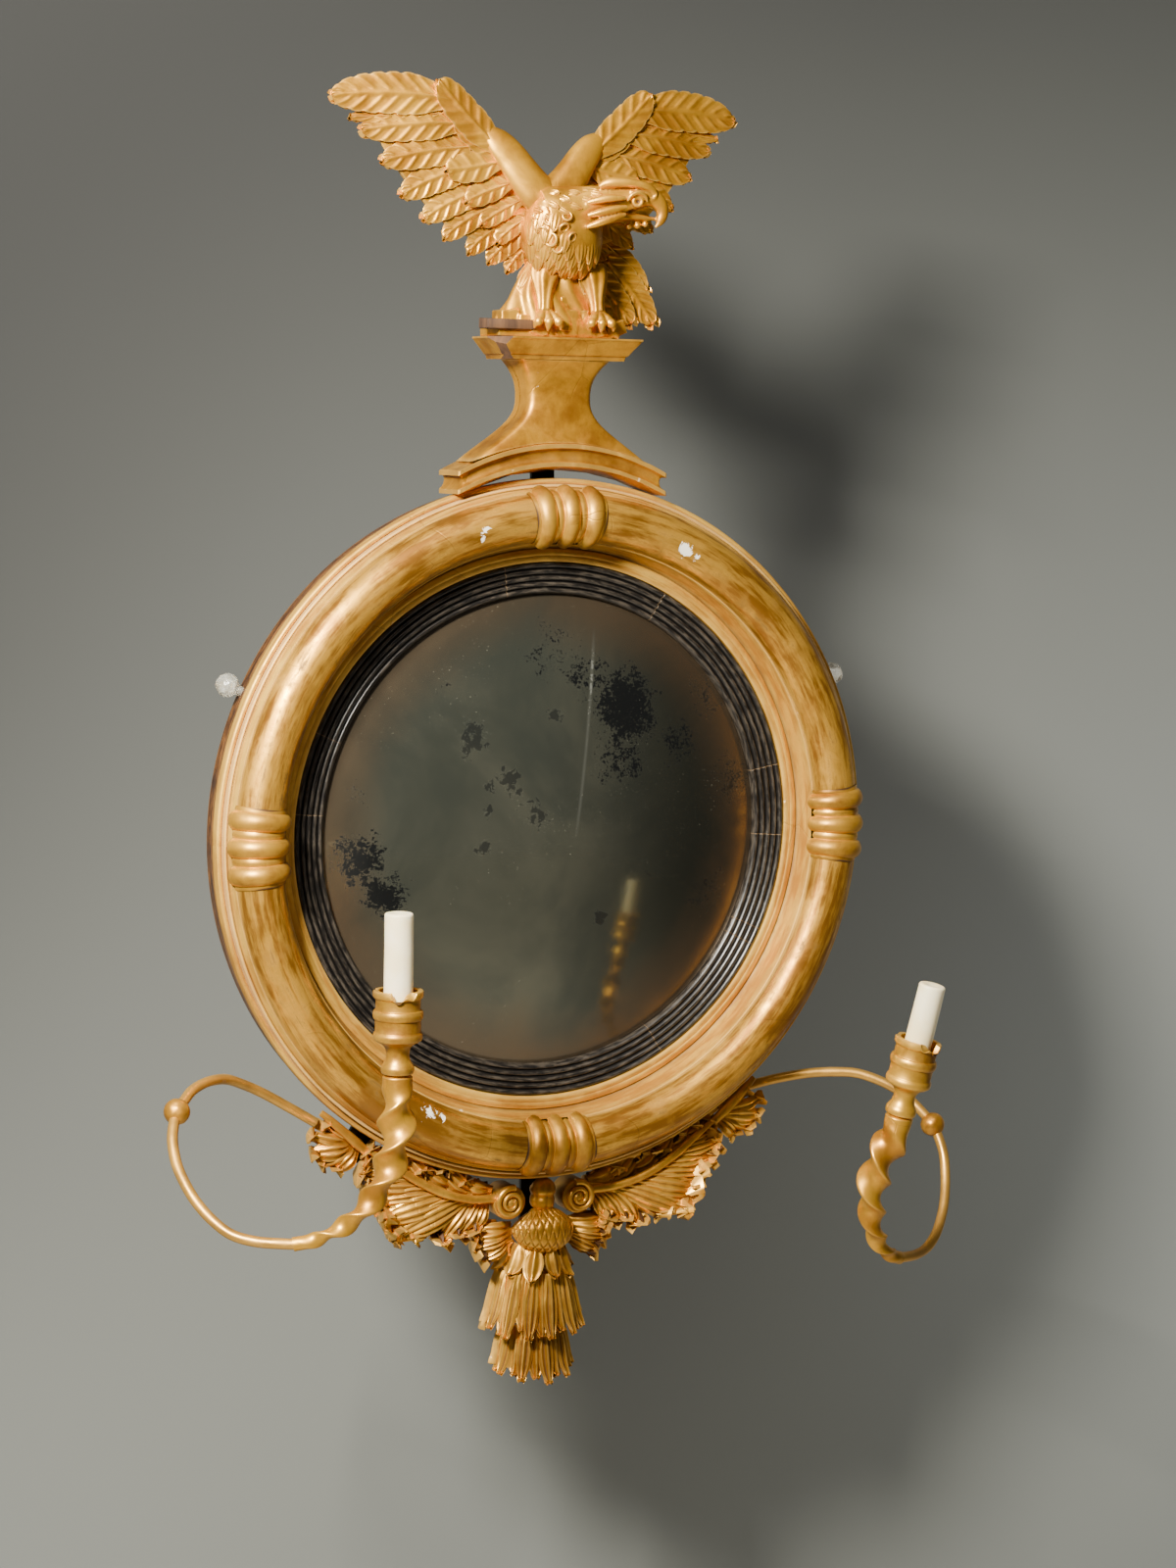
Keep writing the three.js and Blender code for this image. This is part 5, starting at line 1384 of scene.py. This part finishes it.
def fitted(piece, node, axes=(0, 2)):
    """Brings a piece's reach to its CAD node's box on some axes."""
    low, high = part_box(node)
    for axis in axes:
        values = [v.co[axis] for v in piece.data.vertices]
        small, large = min(values), max(values)
        scale = (high[axis] - low[axis]) / (large - small)
        for vertex in piece.data.vertices:
            vertex.co[axis] = low[axis] + (vertex.co[axis] - small) * scale
    return piece


def tail_rise(x, _):
    """How far the tail stands off the wall."""
    return 23.5 - 0.02 * (x - 30)


def tail():
    blades = [
        ((36, 472), (88, 414), 27, 2.5, 0.0, 8), ((20, 466), (68, 414), 26, 1.0, 1.8, 7),
        ((44, 477), (81, 440), 20, 2.5, -1.0, 5), ((10, 452), (48, 417), 22, 0.5, 2.8, 5)]
    pieces = [feather("tail feather", root, tip, width, bow, lift, barbs=barbs, thick=6.0, height=tail_rise)
              for root, tip, width, bow, lift, barbs in blades]
    return joined("tail_carved", pieces)


def toe(x, z, spread, reach):
    """A toe with two knuckles and a hooked claw, gripping the rock."""
    points = [
        (x, 47, z), (x + spread * 0.45, 52.5, z - 4), (x + spread * 0.8, 55, z - 9),
        (x + spread, 55.5, z - reach + 4), (x + spread * 1.06, 54.2, z - reach)]
    sizes = (4.4, 3.5, 3.9, 3.1, 0.9)
    shape = limb("toe", points, lambda t, a: ((along_list(sizes, t),) * 2), (1, 0, 0), 20, 24)
    knuckle = ball(x + spread * 0.82, 56.0, z - 9, 3.9)
    return [shape, knuckle]


def leg(side):
    x, z = (-19.5, 421) if side == "left" else (24.0, 421)
    lean = -1 if side == "left" else 1

    def thigh_section(t, a):
        fold = 1 + 0.1 * math.cos(7 * a + 3 * t)
        return along_list((13, 12.5, 9.0, 6.4, 5.6), t) * fold, along_list((10, 9.5, 8.0, 6.0, 5.0), t) * fold

    route = [(x - 7 * lean * 0.4, 40, 456), (x, 42.5, 445), (x + lean, 46, 432), (x + 1.6 * lean, 49, 421)]
    thigh = limb("thigh", route, thigh_section, (1, 0, 0), 42, 30)
    toes = []
    for spread, reach in ((-10.5, 14.5), (0.5, 16.5), (11.0, 15.5)):
        toes += toe(x + 1.6 * lean, z, spread, reach)
    piece = cast_solid(f"leg_{side}_carved", [thigh, *toes], 0.7, 2)
    soften(piece, 60)
    return piece


def rockwork():
    """A carved mound of broken ledges under the eagle's feet."""
    rng = random.Random(21)
    stones = [block((-60, 9, 400.4), (40, 47, 407.5))]
    for i in range(34):
        x = -50 + i * 2.85 + rng.uniform(-2, 2)
        top = 414 + 12 * math.exp(-((x + 4) / 26) ** 2) + rng.uniform(-5, 4)
        if i % 2:
            low, high = (-7.5, 14, 402), (7.5, rng.uniform(37, 46), top + 4)
        else:
            low, high = (-6, 12, 402), (6, rng.uniform(42, 49.5), top - 3)
        piece = block((low[0] + x, low[1], low[2]), (high[0] + x, high[1], high[2]))
        middle = at(x, 30, 412)
        lean = Matrix.Rotation(math.radians(rng.uniform(-24, 24)), 4, "Y")
        lean = lean @ Matrix.Rotation(math.radians(rng.uniform(-14, 14)), 4, "Z")
        piece.data.transform(Matrix.Translation(middle) @ lean @ Matrix.Translation(-middle))
        stones.append(piece)
    mound = joined("mound", stones)
    apply_modifier(mound, "REMESH", mode="VOXEL", voxel_size=0.0009)
    apply_modifier(mound, "SMOOTH", factor=0.5, iterations=4)
    for vertex in mound.data.vertices:
        vertex.co.z = max(vertex.co.z, 0.4003)
        vertex.co.y = max(vertex.co.y, -0.0505)
    tongue = block((-72, 34, 405.5), (-30, 52, 413.5))
    apply_modifier(tongue, "BEVEL", width=0.0012, segments=2)
    for vertex in tongue.data.vertices:
        rag = noise.noise(vertex.co * 90)
        vertex.co.z += 0.0012 * rag
    tongue.data.materials.append(RAW)
    mound.data.materials.append(BRIGHT)
    piece = joined("rock_carved", [mound, tongue])
    soften(piece, 40)
    return piece


put_on(eagle_body(), BRIGHT, ["eagle_body"])
left_wing = fitted(wing(), "wing_left", (2,))
right_wing = copy_of(left_wing, "wing_right_carved", Matrix.Translation(mm(2 * EAGLE_AXIS, 0, 0)) @ MIRROR_X)
for piece, node in ((left_wing, "wing_left"), (right_wing, "wing_right")):
    soften(piece, 50)
    put_on(piece, BRIGHT, [node])
put_on(tail(), BRIGHT, ["tail"])
for side in ("left", "right"):
    put_on(leg(side), BRIGHT, [f"leg_{side}"])
put_on(rockwork(), None, ["rock"])


# ------------------------------------------------------------------ carved apron

def lobe(root, tip, width, proud, bow=0.0, flutes=3, depth=0.9, point=0.0, thick=9.0, arch=2.2, base=0.5,
         along=30, across=20, seed=0):
    """One lobe of carved leaf: hollow flutes run along it and its end is round or pointed.
    root and tip are (x, z); proud is the height off the wall at root, middle and tip."""
    root, tip = Vector(root), Vector(tip)
    run = tip - root
    length = run.length
    forward = run / length
    side = Vector((-forward.y, forward.x))

    def place(u, v):
        s = 2 * v - 1
        full = mix(base, 1.0, smooth(u, 0.0, 0.55))
        end = mix((1 - u ** 5) ** 0.5, (1 - u ** 1.7) ** 0.8, point)
        lip = 1 - 0.07 * (0.5 - 0.5 * math.cos(math.pi * (flutes + 1) * s)) * smooth(u, 0.6, 1.0)
        half = width / 2 * full * max(end, 0.03)
        reach = u * lip
        spot = root + forward * (length * reach) + side * (s * half + bow * math.sin(math.pi * u * 0.92))
        groove = depth * math.cos(math.pi * (flutes + 1) * s) * smooth(u, 0.04, 0.28)
        groove *= 1 - 0.35 * smooth(u, 0.8, 1.0)
        rise = along_list(proud, u) + arch * (1 - s * s) * smooth(u, 0, 0.4) - groove - 1.2 * s ** 6
        rise += 0.35 * noise.noise(Vector((spot.x * 0.16, spot.y * 0.16, seed)))
        return at(spot.x, rise, spot.y)

    return thickened(bent_grid("lobe", across + 1, along + 1, place), thick, 48)


def stalk(points, sizes, flat=0.8):
    piece = limb("stalk", points, lambda t, a: (along_list(sizes, t), flat * along_list(sizes, t)),
                 (0, 0, 1), 20, 44)
    soften(piece, 60)
    return piece


def spray():
    """Right-hand acanthus spray, fanning out from behind the volute along the frame."""
    lobes = [
        ((48, -306), (61, -331.5), 16, (21, 25, 20), 1.0, 2, 0.3),
        ((54, -304), (76, -334), 16, (22, 27, 21), 1.5, 2, 0.4),
        ((60, -302), (91, -339.5), 18, (23, 28, 22), 2.5, 2, 0.4),
        ((70, -301), (116, -333), 22, (25, 28, 22), 3.0, 3, 0.1),
        ((62, -300), (137, -331), 30, (25, 32, 27), 5.0, 4, 0.15),
        ((76, -298), (146, -314), 26, (26, 33, 28), 3.0, 3, 0.1),
        ((88, -294), (153, -298), 21, (27, 32, 26), 1.5, 3, 0.2),
        ((102, -288), (161, -285), 18, (27, 31, 25), 0.5, 2, 0.3),
        ((116, -280), (165.5, -272), 15, (27, 31, 26), -1.0, 2, 0.3),
        ((128, -272), (160, -263), 10, (26, 28, 22), -1.0, 1, 0.5),
        ((44, -297), (71, -285), 15, (22, 25, 19), -3.0, 1, 0.2),
        ((60, -298), (89, -272.5), 19, (23, 27, 22), -4.5, 2, 0.15),
        ((80, -292), (109, -270.5), 20, (24, 29, 24), -5.0, 2, 0.1),
        ((97, -285), (123, -259), 17, (25, 28, 22), -3.5, 2, 0.2),
        ((114, -276), (141, -255), 15, (25, 28, 21), -3.0, 1, 0.2),
        ((128, -267), (154, -251.5), 11, (25, 27, 21), -2.0, 1, 0.3)]
    pieces = [lobe(root, tip, width, proud, bow, flutes, point=point, thick=11, seed=i)
              for i, (root, tip, width, proud, bow, flutes, point) in enumerate(lobes)]
    pieces.append(stalk([(44, 27, -303), (66, 30, -301), (92, 33, -293), (118, 33, -279), (140, 31, -264),
                         (156, 29.5, -253)],
                        (3.6, 3.4, 3.6, 3.6, 3.2, 2.6)))
    heart = [(44, 14, -303), (76, 15, -298), (108, 15, -288), (138, 15, -270), (154, 16, -257)]
    pieces.append(limb("heart", heart, lambda t, a: (along_list((9, 19, 20, 12, 5), t),
                                                     along_list((7, 9, 9, 8, 5), t)), (0, 0, 1), 32, 30))
    return joined("apron_spray_right_carved", pieces)


def tip_leaf():
    lobes = [
        ((166, -245), (192, -228), 10, (24, 27, 24), -1.5, 1, 0.4),
        ((170, -246), (206, -236.5), 14, (25, 28, 24), -2.0, 1, 0.35),
        ((168, -250), (205, -253), 19, (25, 29, 24), 1.0, 2, 0.1),
        ((164, -252), (182, -270), 17, (24, 27, 22), 1.0, 2, 0.1),
        ((166, -250), (196, -264), 15, (24, 27, 22), 1.0, 1, 0.2)]
    pieces = [lobe(root, tip, width, proud, bow, flutes, point=point, thick=7, seed=20 + i, along=24, across=16)
              for i, (root, tip, width, proud, bow, flutes, point) in enumerate(lobes)]
    pieces.append(stalk([(158, 27.5, -254), (168, 29, -245), (180, 29, -234), (190, 28, -225),
                         (196.5, 26, -219.5)],
                        (3.6, 4.2, 3.8, 3.4, 2.6)))
    return joined("apron_tip_leaf_right_carved", pieces)


def volute():
    x, z = 31.0, -307.2
    deselect()
    bpy.ops.mesh.primitive_cylinder_add(vertices=72, radius=0.0142, depth=0.024, location=at(x, 18, z),
                                        rotation=(math.pi / 2, 0, 0))
    disc = named("disc")
    settle(disc)
    apply_modifier(disc, "BEVEL", width=0.0018, segments=3)
    turns = 1.9
    route = []
    for i in range(31):
        t = i / 30
        angle = math.radians(105) - math.tau * turns * t
        radius = mix(13.2, 3.4, t ** 0.85)
        route.append((x + radius * math.cos(angle), 31.2 + 1.6 * t, z + radius * math.sin(angle)))
    roll = limb("roll", route, lambda t, a: (mix(2.9, 1.7, t), mix(3.6, 2.4, t)), (0, 0, 1), 18, 150)
    boss = ball(x - 0.4, 29.5, z, 5.6, (1, 0.8, 1))
    piece = joined("volute_right_carved", [disc, roll, boss])
    soften(piece, 50)
    return piece


def bud():
    def section(t, a):
        size = along_list((4.5, 9.3, 11.0, 9.6, 10.6, 9.6, 5.0), t)
        ribs = 1 - 0.09 * abs(math.sin(3 * a)) ** 6
        return size * ribs, 1.12 * size * ribs

    route = [(0, 24, -289.8), (0, 26, -296), (0, 25.5, -303), (0, 25, -310), (0, 23, -316.6)]
    piece = limb("centre_bud_carved", route, section, (1, 0, 0), 72, 48)
    soften(piece, 50)
    return piece


def hatched_dome():
    """A pine-apple boss: two sets of grooves cross over a rounded body."""
    def section(t, a):
        size = along_list((9, 18.5, 24.5, 26.5, 25.5, 21, 14), t)
        groove = 0.0
        for slope in (1, -1):
            line = (a / math.tau * 22 + slope * t * 3.6) % 1.0
            line = min(line, 1 - line)
            groove = max(groove, math.exp(-(line / 0.11) ** 2))
        size -= 1.15 * groove * smooth(t, 0.04, 0.14) * (1 - smooth(t, 0.9, 0.98))
        return size, 0.84 * size

    piece = limb("pineapple_dome_carved", [(0, 22, -316.5), (0, 25, -322), (0, 27, -331), (0, 25, -340),
                                           (0, 22, -348)],
                 section, (1, 0, 0), 220, 80)
    soften(piece, 40)
    return piece


def skirt(name, top, foot, halves, fronts, leaves, seed):
    """Hanging leaves round a bell; each is (turn, width, start, length, lift, flutes), angles in degrees."""
    back = CARVING_BACK + 3
    rng = random.Random(seed)

    def on_bell(turn, drop, out):
        half = mix(halves[0], halves[1], drop ** 0.75) + out
        front = mix(fronts[0], fronts[1], drop ** 0.75) - back + out
        return half * math.sin(turn), back + front * max(math.cos(turn), -0.02), mix(top, foot, drop)

    pieces = []
    for turn, width, start, length, lift, flutes in leaves:
        seed_here = rng.uniform(0, 40)
        sway = rng.uniform(-0.04, 0.04)

        def place(u, v):
            s = 2 * v - 1
            full = mix(0.62, 1.0, smooth(u, 0, 0.5)) * max((1 - u ** 3.4), 0.0) ** 0.62
            ragged = 1 + 0.10 * noise.noise(Vector((u * 7 + seed_here, 3 * s, 0))) * smooth(abs(s), 0.6, 1.0)
            angle = math.radians(turn) + s * math.radians(width) * 0.5 * max(full, 0.03) * ragged + sway * u
            ridge = 0.7 * math.cos(math.pi * (flutes + 1) * s) * smooth(u, 0.05, 0.3)
            ridge += 1.5 * math.exp(-(s * 4) ** 2)
            out = lift + ridge - 1.0 * s * s + 1.2 * smooth(u, 0.75, 1.0)
            return at(*on_bell(angle, start + length * u, out))

        sheet = bent_grid("leaf", 17, 29, place)
        pieces.append(thickened(sheet, 3.2, 46))

    def core(t, _):
        half = mix(halves[0], halves[1], (t * 0.8) ** 0.75) - 2.5
        return half, 0.5 * (mix(fronts[0], fronts[1], (t * 0.8) ** 0.75) - 5 - CARVING_BACK)

    depth = [0.5 * (CARVING_BACK + mix(fronts[0], fronts[1], (k * 0.2) ** 0.75) - 4) for k in range(5)]
    route = [(0, depth[k], mix(top, foot, 0.8 * k / 4)) for k in range(5)]
    pieces.append(limb("bell", route, core, (1, 0, 0), 40, 16))
    return joined(name, pieces)


def fan():
    lobes = [
        ((24, -331), (59, -330), 12, (17, 24, 19), 0.6, 1, 0.3),
        ((24, -335), (62, -338.5), 12, (18, 26, 21), 0.5, 1, 0.3),
        ((24, -338), (61.5, -346), 13, (18, 26, 22), 0.0, 2, 0.2),
        ((24, -341), (55, -356.5), 13, (17, 25, 21), -0.5, 2, 0.25)]
    pieces = [lobe(root, tip, width, proud, bow, flutes, point=point, thick=10, seed=40 + i, base=0.75,
                   along=24, across=16)
              for i, (root, tip, width, proud, bow, flutes, point) in enumerate(lobes)]
    return joined("side_fan_right_carved", pieces)


def both_sides(right, node):
    """Puts a right-hand piece on, and its mirrored twin on the left."""
    left = copy_of(right, right.name.replace("right", "left"), MIRROR_X)
    for piece, side in ((right, "right"), (left, "left")):
        put_on(piece, APRON, [f"{node}_{side}"])


both_sides(spray(), "apron_spray")
both_sides(tip_leaf(), "apron_tip_leaf")
both_sides(volute(), "volute")
both_sides(fan(), "side_fan")
put_on(bud(), APRON, ["centre_bud"])
put_on(hatched_dome(), APRON, ["pineapple_dome"])

def hanging_leaves(width, lengths, start, lift, flutes):
    """A row of alike leaves; lengths gives each leaf's turn in degrees and its length."""
    return [(turn, width, start, length, lift, flutes) for turn, length in lengths]


COLLAR = [
    (-96, 50, 0.0, 1.0, 1.0, 1), (-62, 44, 0, 1.0, 2.0, 1), (-26, 36, 0, 1.12, 2.5, 1),
    (8, 34, 0, 1.0, 2.0, 1), (42, 34, 0, 1.1, 2.4, 1), (76, 40, 0, 0.98, 1.4, 1), (100, 40, 0, 0.9, 0.8, 1)]
UPPER = hanging_leaves(26, ((-92, 0.98), (-62, 1.0), (-34, 0.9), (-8, 1.0), (18, 0.95), (46, 1.0),
                            (72, 0.9), (98, 0.92)), 0.0, 0.2, 1)
UPPER += hanging_leaves(25, ((-104, 0.86), (-78, 0.92), (-50, 1.04), (-22, 1.04), (4, 1.04), (32, 1.03),
                             (58, 0.98), (84, 0.84)), 0.0, 2.4, 2)
LOWER = hanging_leaves(34, ((-88, 0.86), (-50, 0.86), (-14, 0.9), (22, 0.9), (58, 0.85), (92, 0.8)),
                       0.05, 0.2, 1)
LOWER += hanging_leaves(31, ((-102, 0.78), (-70, 0.92), (-34, 1.0), (2, 1.06), (38, 1.0), (74, 0.88)),
                        0.0, 2.2, 2)
BELLS = (("leaf_collar", -345, -369, (19, 31), (36, 43), COLLAR, 3),
         ("upper_drop", -368, -419, (27, 42), (36, 43), UPPER, 5),
         ("lower_drop", -415, -458, (23, 33), (31, 38), LOWER, 9))
for node, top, foot, halves, fronts, leaves, seed in BELLS:
    put_on(skirt(f"{node}_carved", top, foot, halves, fronts, leaves, seed), APRON, [node])


# ------------------------------------------------------------------ side knobs

def crumpled_knob():
    """A clear glass knob on a short stem, pressed out of round."""
    lean = math.radians(24.5)
    out = Vector((math.cos(lean), 0, math.sin(lean)))
    deselect()
    bpy.ops.mesh.primitive_ico_sphere_add(subdivisions=5, radius=0.0093)
    head = named("head")
    for vertex in head.data.vertices:
        way = vertex.co.normalized()
        vertex.co *= 1 + 0.13 * noise.noise(way * 1.9 + Vector((4, 2, 1))) + 0.07 * noise.noise(way * 5)
    head.data.transform(Matrix.Translation(out * 0.2985 + mm(0, -11, 0)))
    deselect()
    bpy.ops.mesh.primitive_cylinder_add(vertices=32, radius=0.0042, depth=0.010,
                                        location=out * 0.2885 + mm(0, -11, 0),
                                        rotation=(0, math.pi / 2 - lean, 0))
    stem = named("stem")
    settle(stem)
    piece = cast_solid("side_knob_right_pressed", [head, stem], 0.7, 1)
    soften(piece, 60)
    return piece


knob = crumpled_knob()
other_knob = copy_of(knob, "side_knob_left_pressed", MIRROR_X)
for piece, side in ((knob, "right"), (other_knob, "left")):
    put_on(piece, CLEAR, [f"side_knob_{side}"])


# ------------------------------------------------------------------ plain CAD pieces that stay

for node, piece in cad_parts.items():
    if "screw" in node or "strap" in node or "hanging_plate" in node:
        dress(piece, IRON)
    elif node == "backboard":
        dress(piece, PINE)
    elif "knob" in node:
        dress(piece, CLEAR)
    elif piece.visible_get() and not piece.hide_render:
        dress(piece, BRIGHT)


# ------------------------------------------------------------------ camera, light and wall

def camera():
    """Below the mirror's left, turned a little to the right and up."""
    yaw, pitch, roll = (math.radians(a) for a in (25.49, -6.38, 1.01))
    ahead = Vector((math.sin(yaw) * math.cos(pitch), math.cos(yaw) * math.cos(pitch), math.sin(pitch)))
    level = Vector((math.cos(yaw), -math.sin(yaw), 0))
    above = level.cross(ahead)
    right = math.cos(roll) * level + math.sin(roll) * above
    up = math.cos(roll) * above - math.sin(roll) * level
    bpy.ops.object.camera_add(location=(-1.0871, -2.3801, 0.3294))
    eye = named("camera")
    eye.rotation_euler = Matrix((right, up, -ahead)).transposed().to_euler()
    eye.data.sensor_width = 36
    eye.data.lens = 73.27
    eye.data.clip_start = 0.05
    bpy.context.scene.camera = eye


def soft_light(name, place, aim, width, height, watts, colour=(1, 1, 1), glossy=True):
    bpy.ops.object.light_add(type="AREA", location=place)
    lamp = named(name)
    lamp.rotation_euler = (Vector(aim) - Vector(place)).to_track_quat("-Z", "Y").to_euler()
    lamp.data.shape = "RECTANGLE"
    lamp.data.size = width
    lamp.data.size_y = height
    lamp.data.energy = watts
    lamp.data.color = colour
    lamp.visible_glossy = glossy
    lamp.visible_camera = False


def plain(name, shade, rough):
    made, s, shader, place = material(name)
    tone = s.noise(place, 1.3, 3.0, 0.5)
    s.put(shader.inputs["Base Color"], s.blend(s.span(tone, 0.3, 0.7), rgb(*shade),
                                               rgb(*(c - 5 for c in shade))))
    shader.inputs["Roughness"].default_value = rough
    return made


def wall_with_painted_shade():
    """Grey paint with painted shade: darker towards the upper left, darkest on the left high up.
    The wall can't be seen from behind, so that the back of the mirror shows."""
    made, s, shader, place = material("grey wall with painted shade")
    x, _, z = s.split(place)
    # Painted shade: the wall darker towards the upper left.
    slant = s.minus(s.times(x, 0.5), z)
    tone = s.plus(slant, s.times(s.noise(place, 1.3, 3.0, 0.5), 0.1))
    colour = s.blend(s.span(tone, -0.75, 0.95), rgb(44, 45, 44), rgb(132, 135, 131))
    # Painted shade: a dark patch on the left, strongest high up.
    corner = s.times(s.span(x, -0.75, 0.1, 1.0, 0.0), s.span(z, -0.8, 0.3))
    s.put(shader.inputs["Base Color"], s.blend(s.times(corner, 0.85), colour, rgb(14, 15, 14)))
    shader.inputs["Roughness"].default_value = 0.8
    output = next(node for node in made.node_tree.nodes if node.type == "OUTPUT_MATERIAL")
    either = s.add("ShaderNodeMixShader")
    s.put(either.inputs[0], s.add("ShaderNodeNewGeometry").outputs["Backfacing"])
    s.put(either.inputs[1], shader.outputs[0])
    s.put(either.inputs[2], s.add("ShaderNodeBsdfTransparent").outputs[0])
    s.put(output.inputs["Surface"], either.outputs[0])
    return made


def surroundings():
    deselect()
    bpy.ops.mesh.primitive_plane_add(size=9, location=(0, 0.35, 1.3), rotation=(math.pi / 2, 0, 0))
    wall = named("wall")
    settle(wall)
    dress(wall, wall_with_painted_shade())
    deselect()
    bpy.ops.mesh.primitive_plane_add(size=9, location=(0, -4.1, -1.55))
    floor = named("floor")
    settle(floor)
    dress(floor, plain("pale floor", (206, 202, 194), 0.6))
    world = bpy.data.worlds.new("soft room")
    bpy.context.scene.world = world
    world.use_nodes = True
    world.node_tree.nodes["Background"].inputs[0].default_value = (0.30, 0.30, 0.31, 1)
    world.node_tree.nodes["Background"].inputs[1].default_value = 0.16
    soft_light("key light", (-1.18, -1.03, 0.92), (0.2, 0.1, -0.25), 0.3, 0.3, 140, (1.0, 0.96, 0.86))
    soft_light("wall light", (1.6, 0.0, -0.25), (0.9, 0.35, -0.05), 0.8, 1.2, 7, (0.96, 0.98, 1.0),
               glossy=False)
    soft_light("front light", (-0.4, -3.0, 1.4), (0, 0, 0), 1.2, 1.2, 3, (1.0, 0.98, 0.95), glossy=False)
    soft_light("top light", (-0.5, -1.2, 1.9), (0, 0, 0.1), 1.4, 0.9, 13, (1.0, 0.97, 0.92))
    soft_light("back light", (0.1, 0.33, 0.2), (0.1, -1.0, 0.1), 1.6, 1.6, 5, (1.0, 0.98, 0.95), glossy=False)


camera()
surroundings()
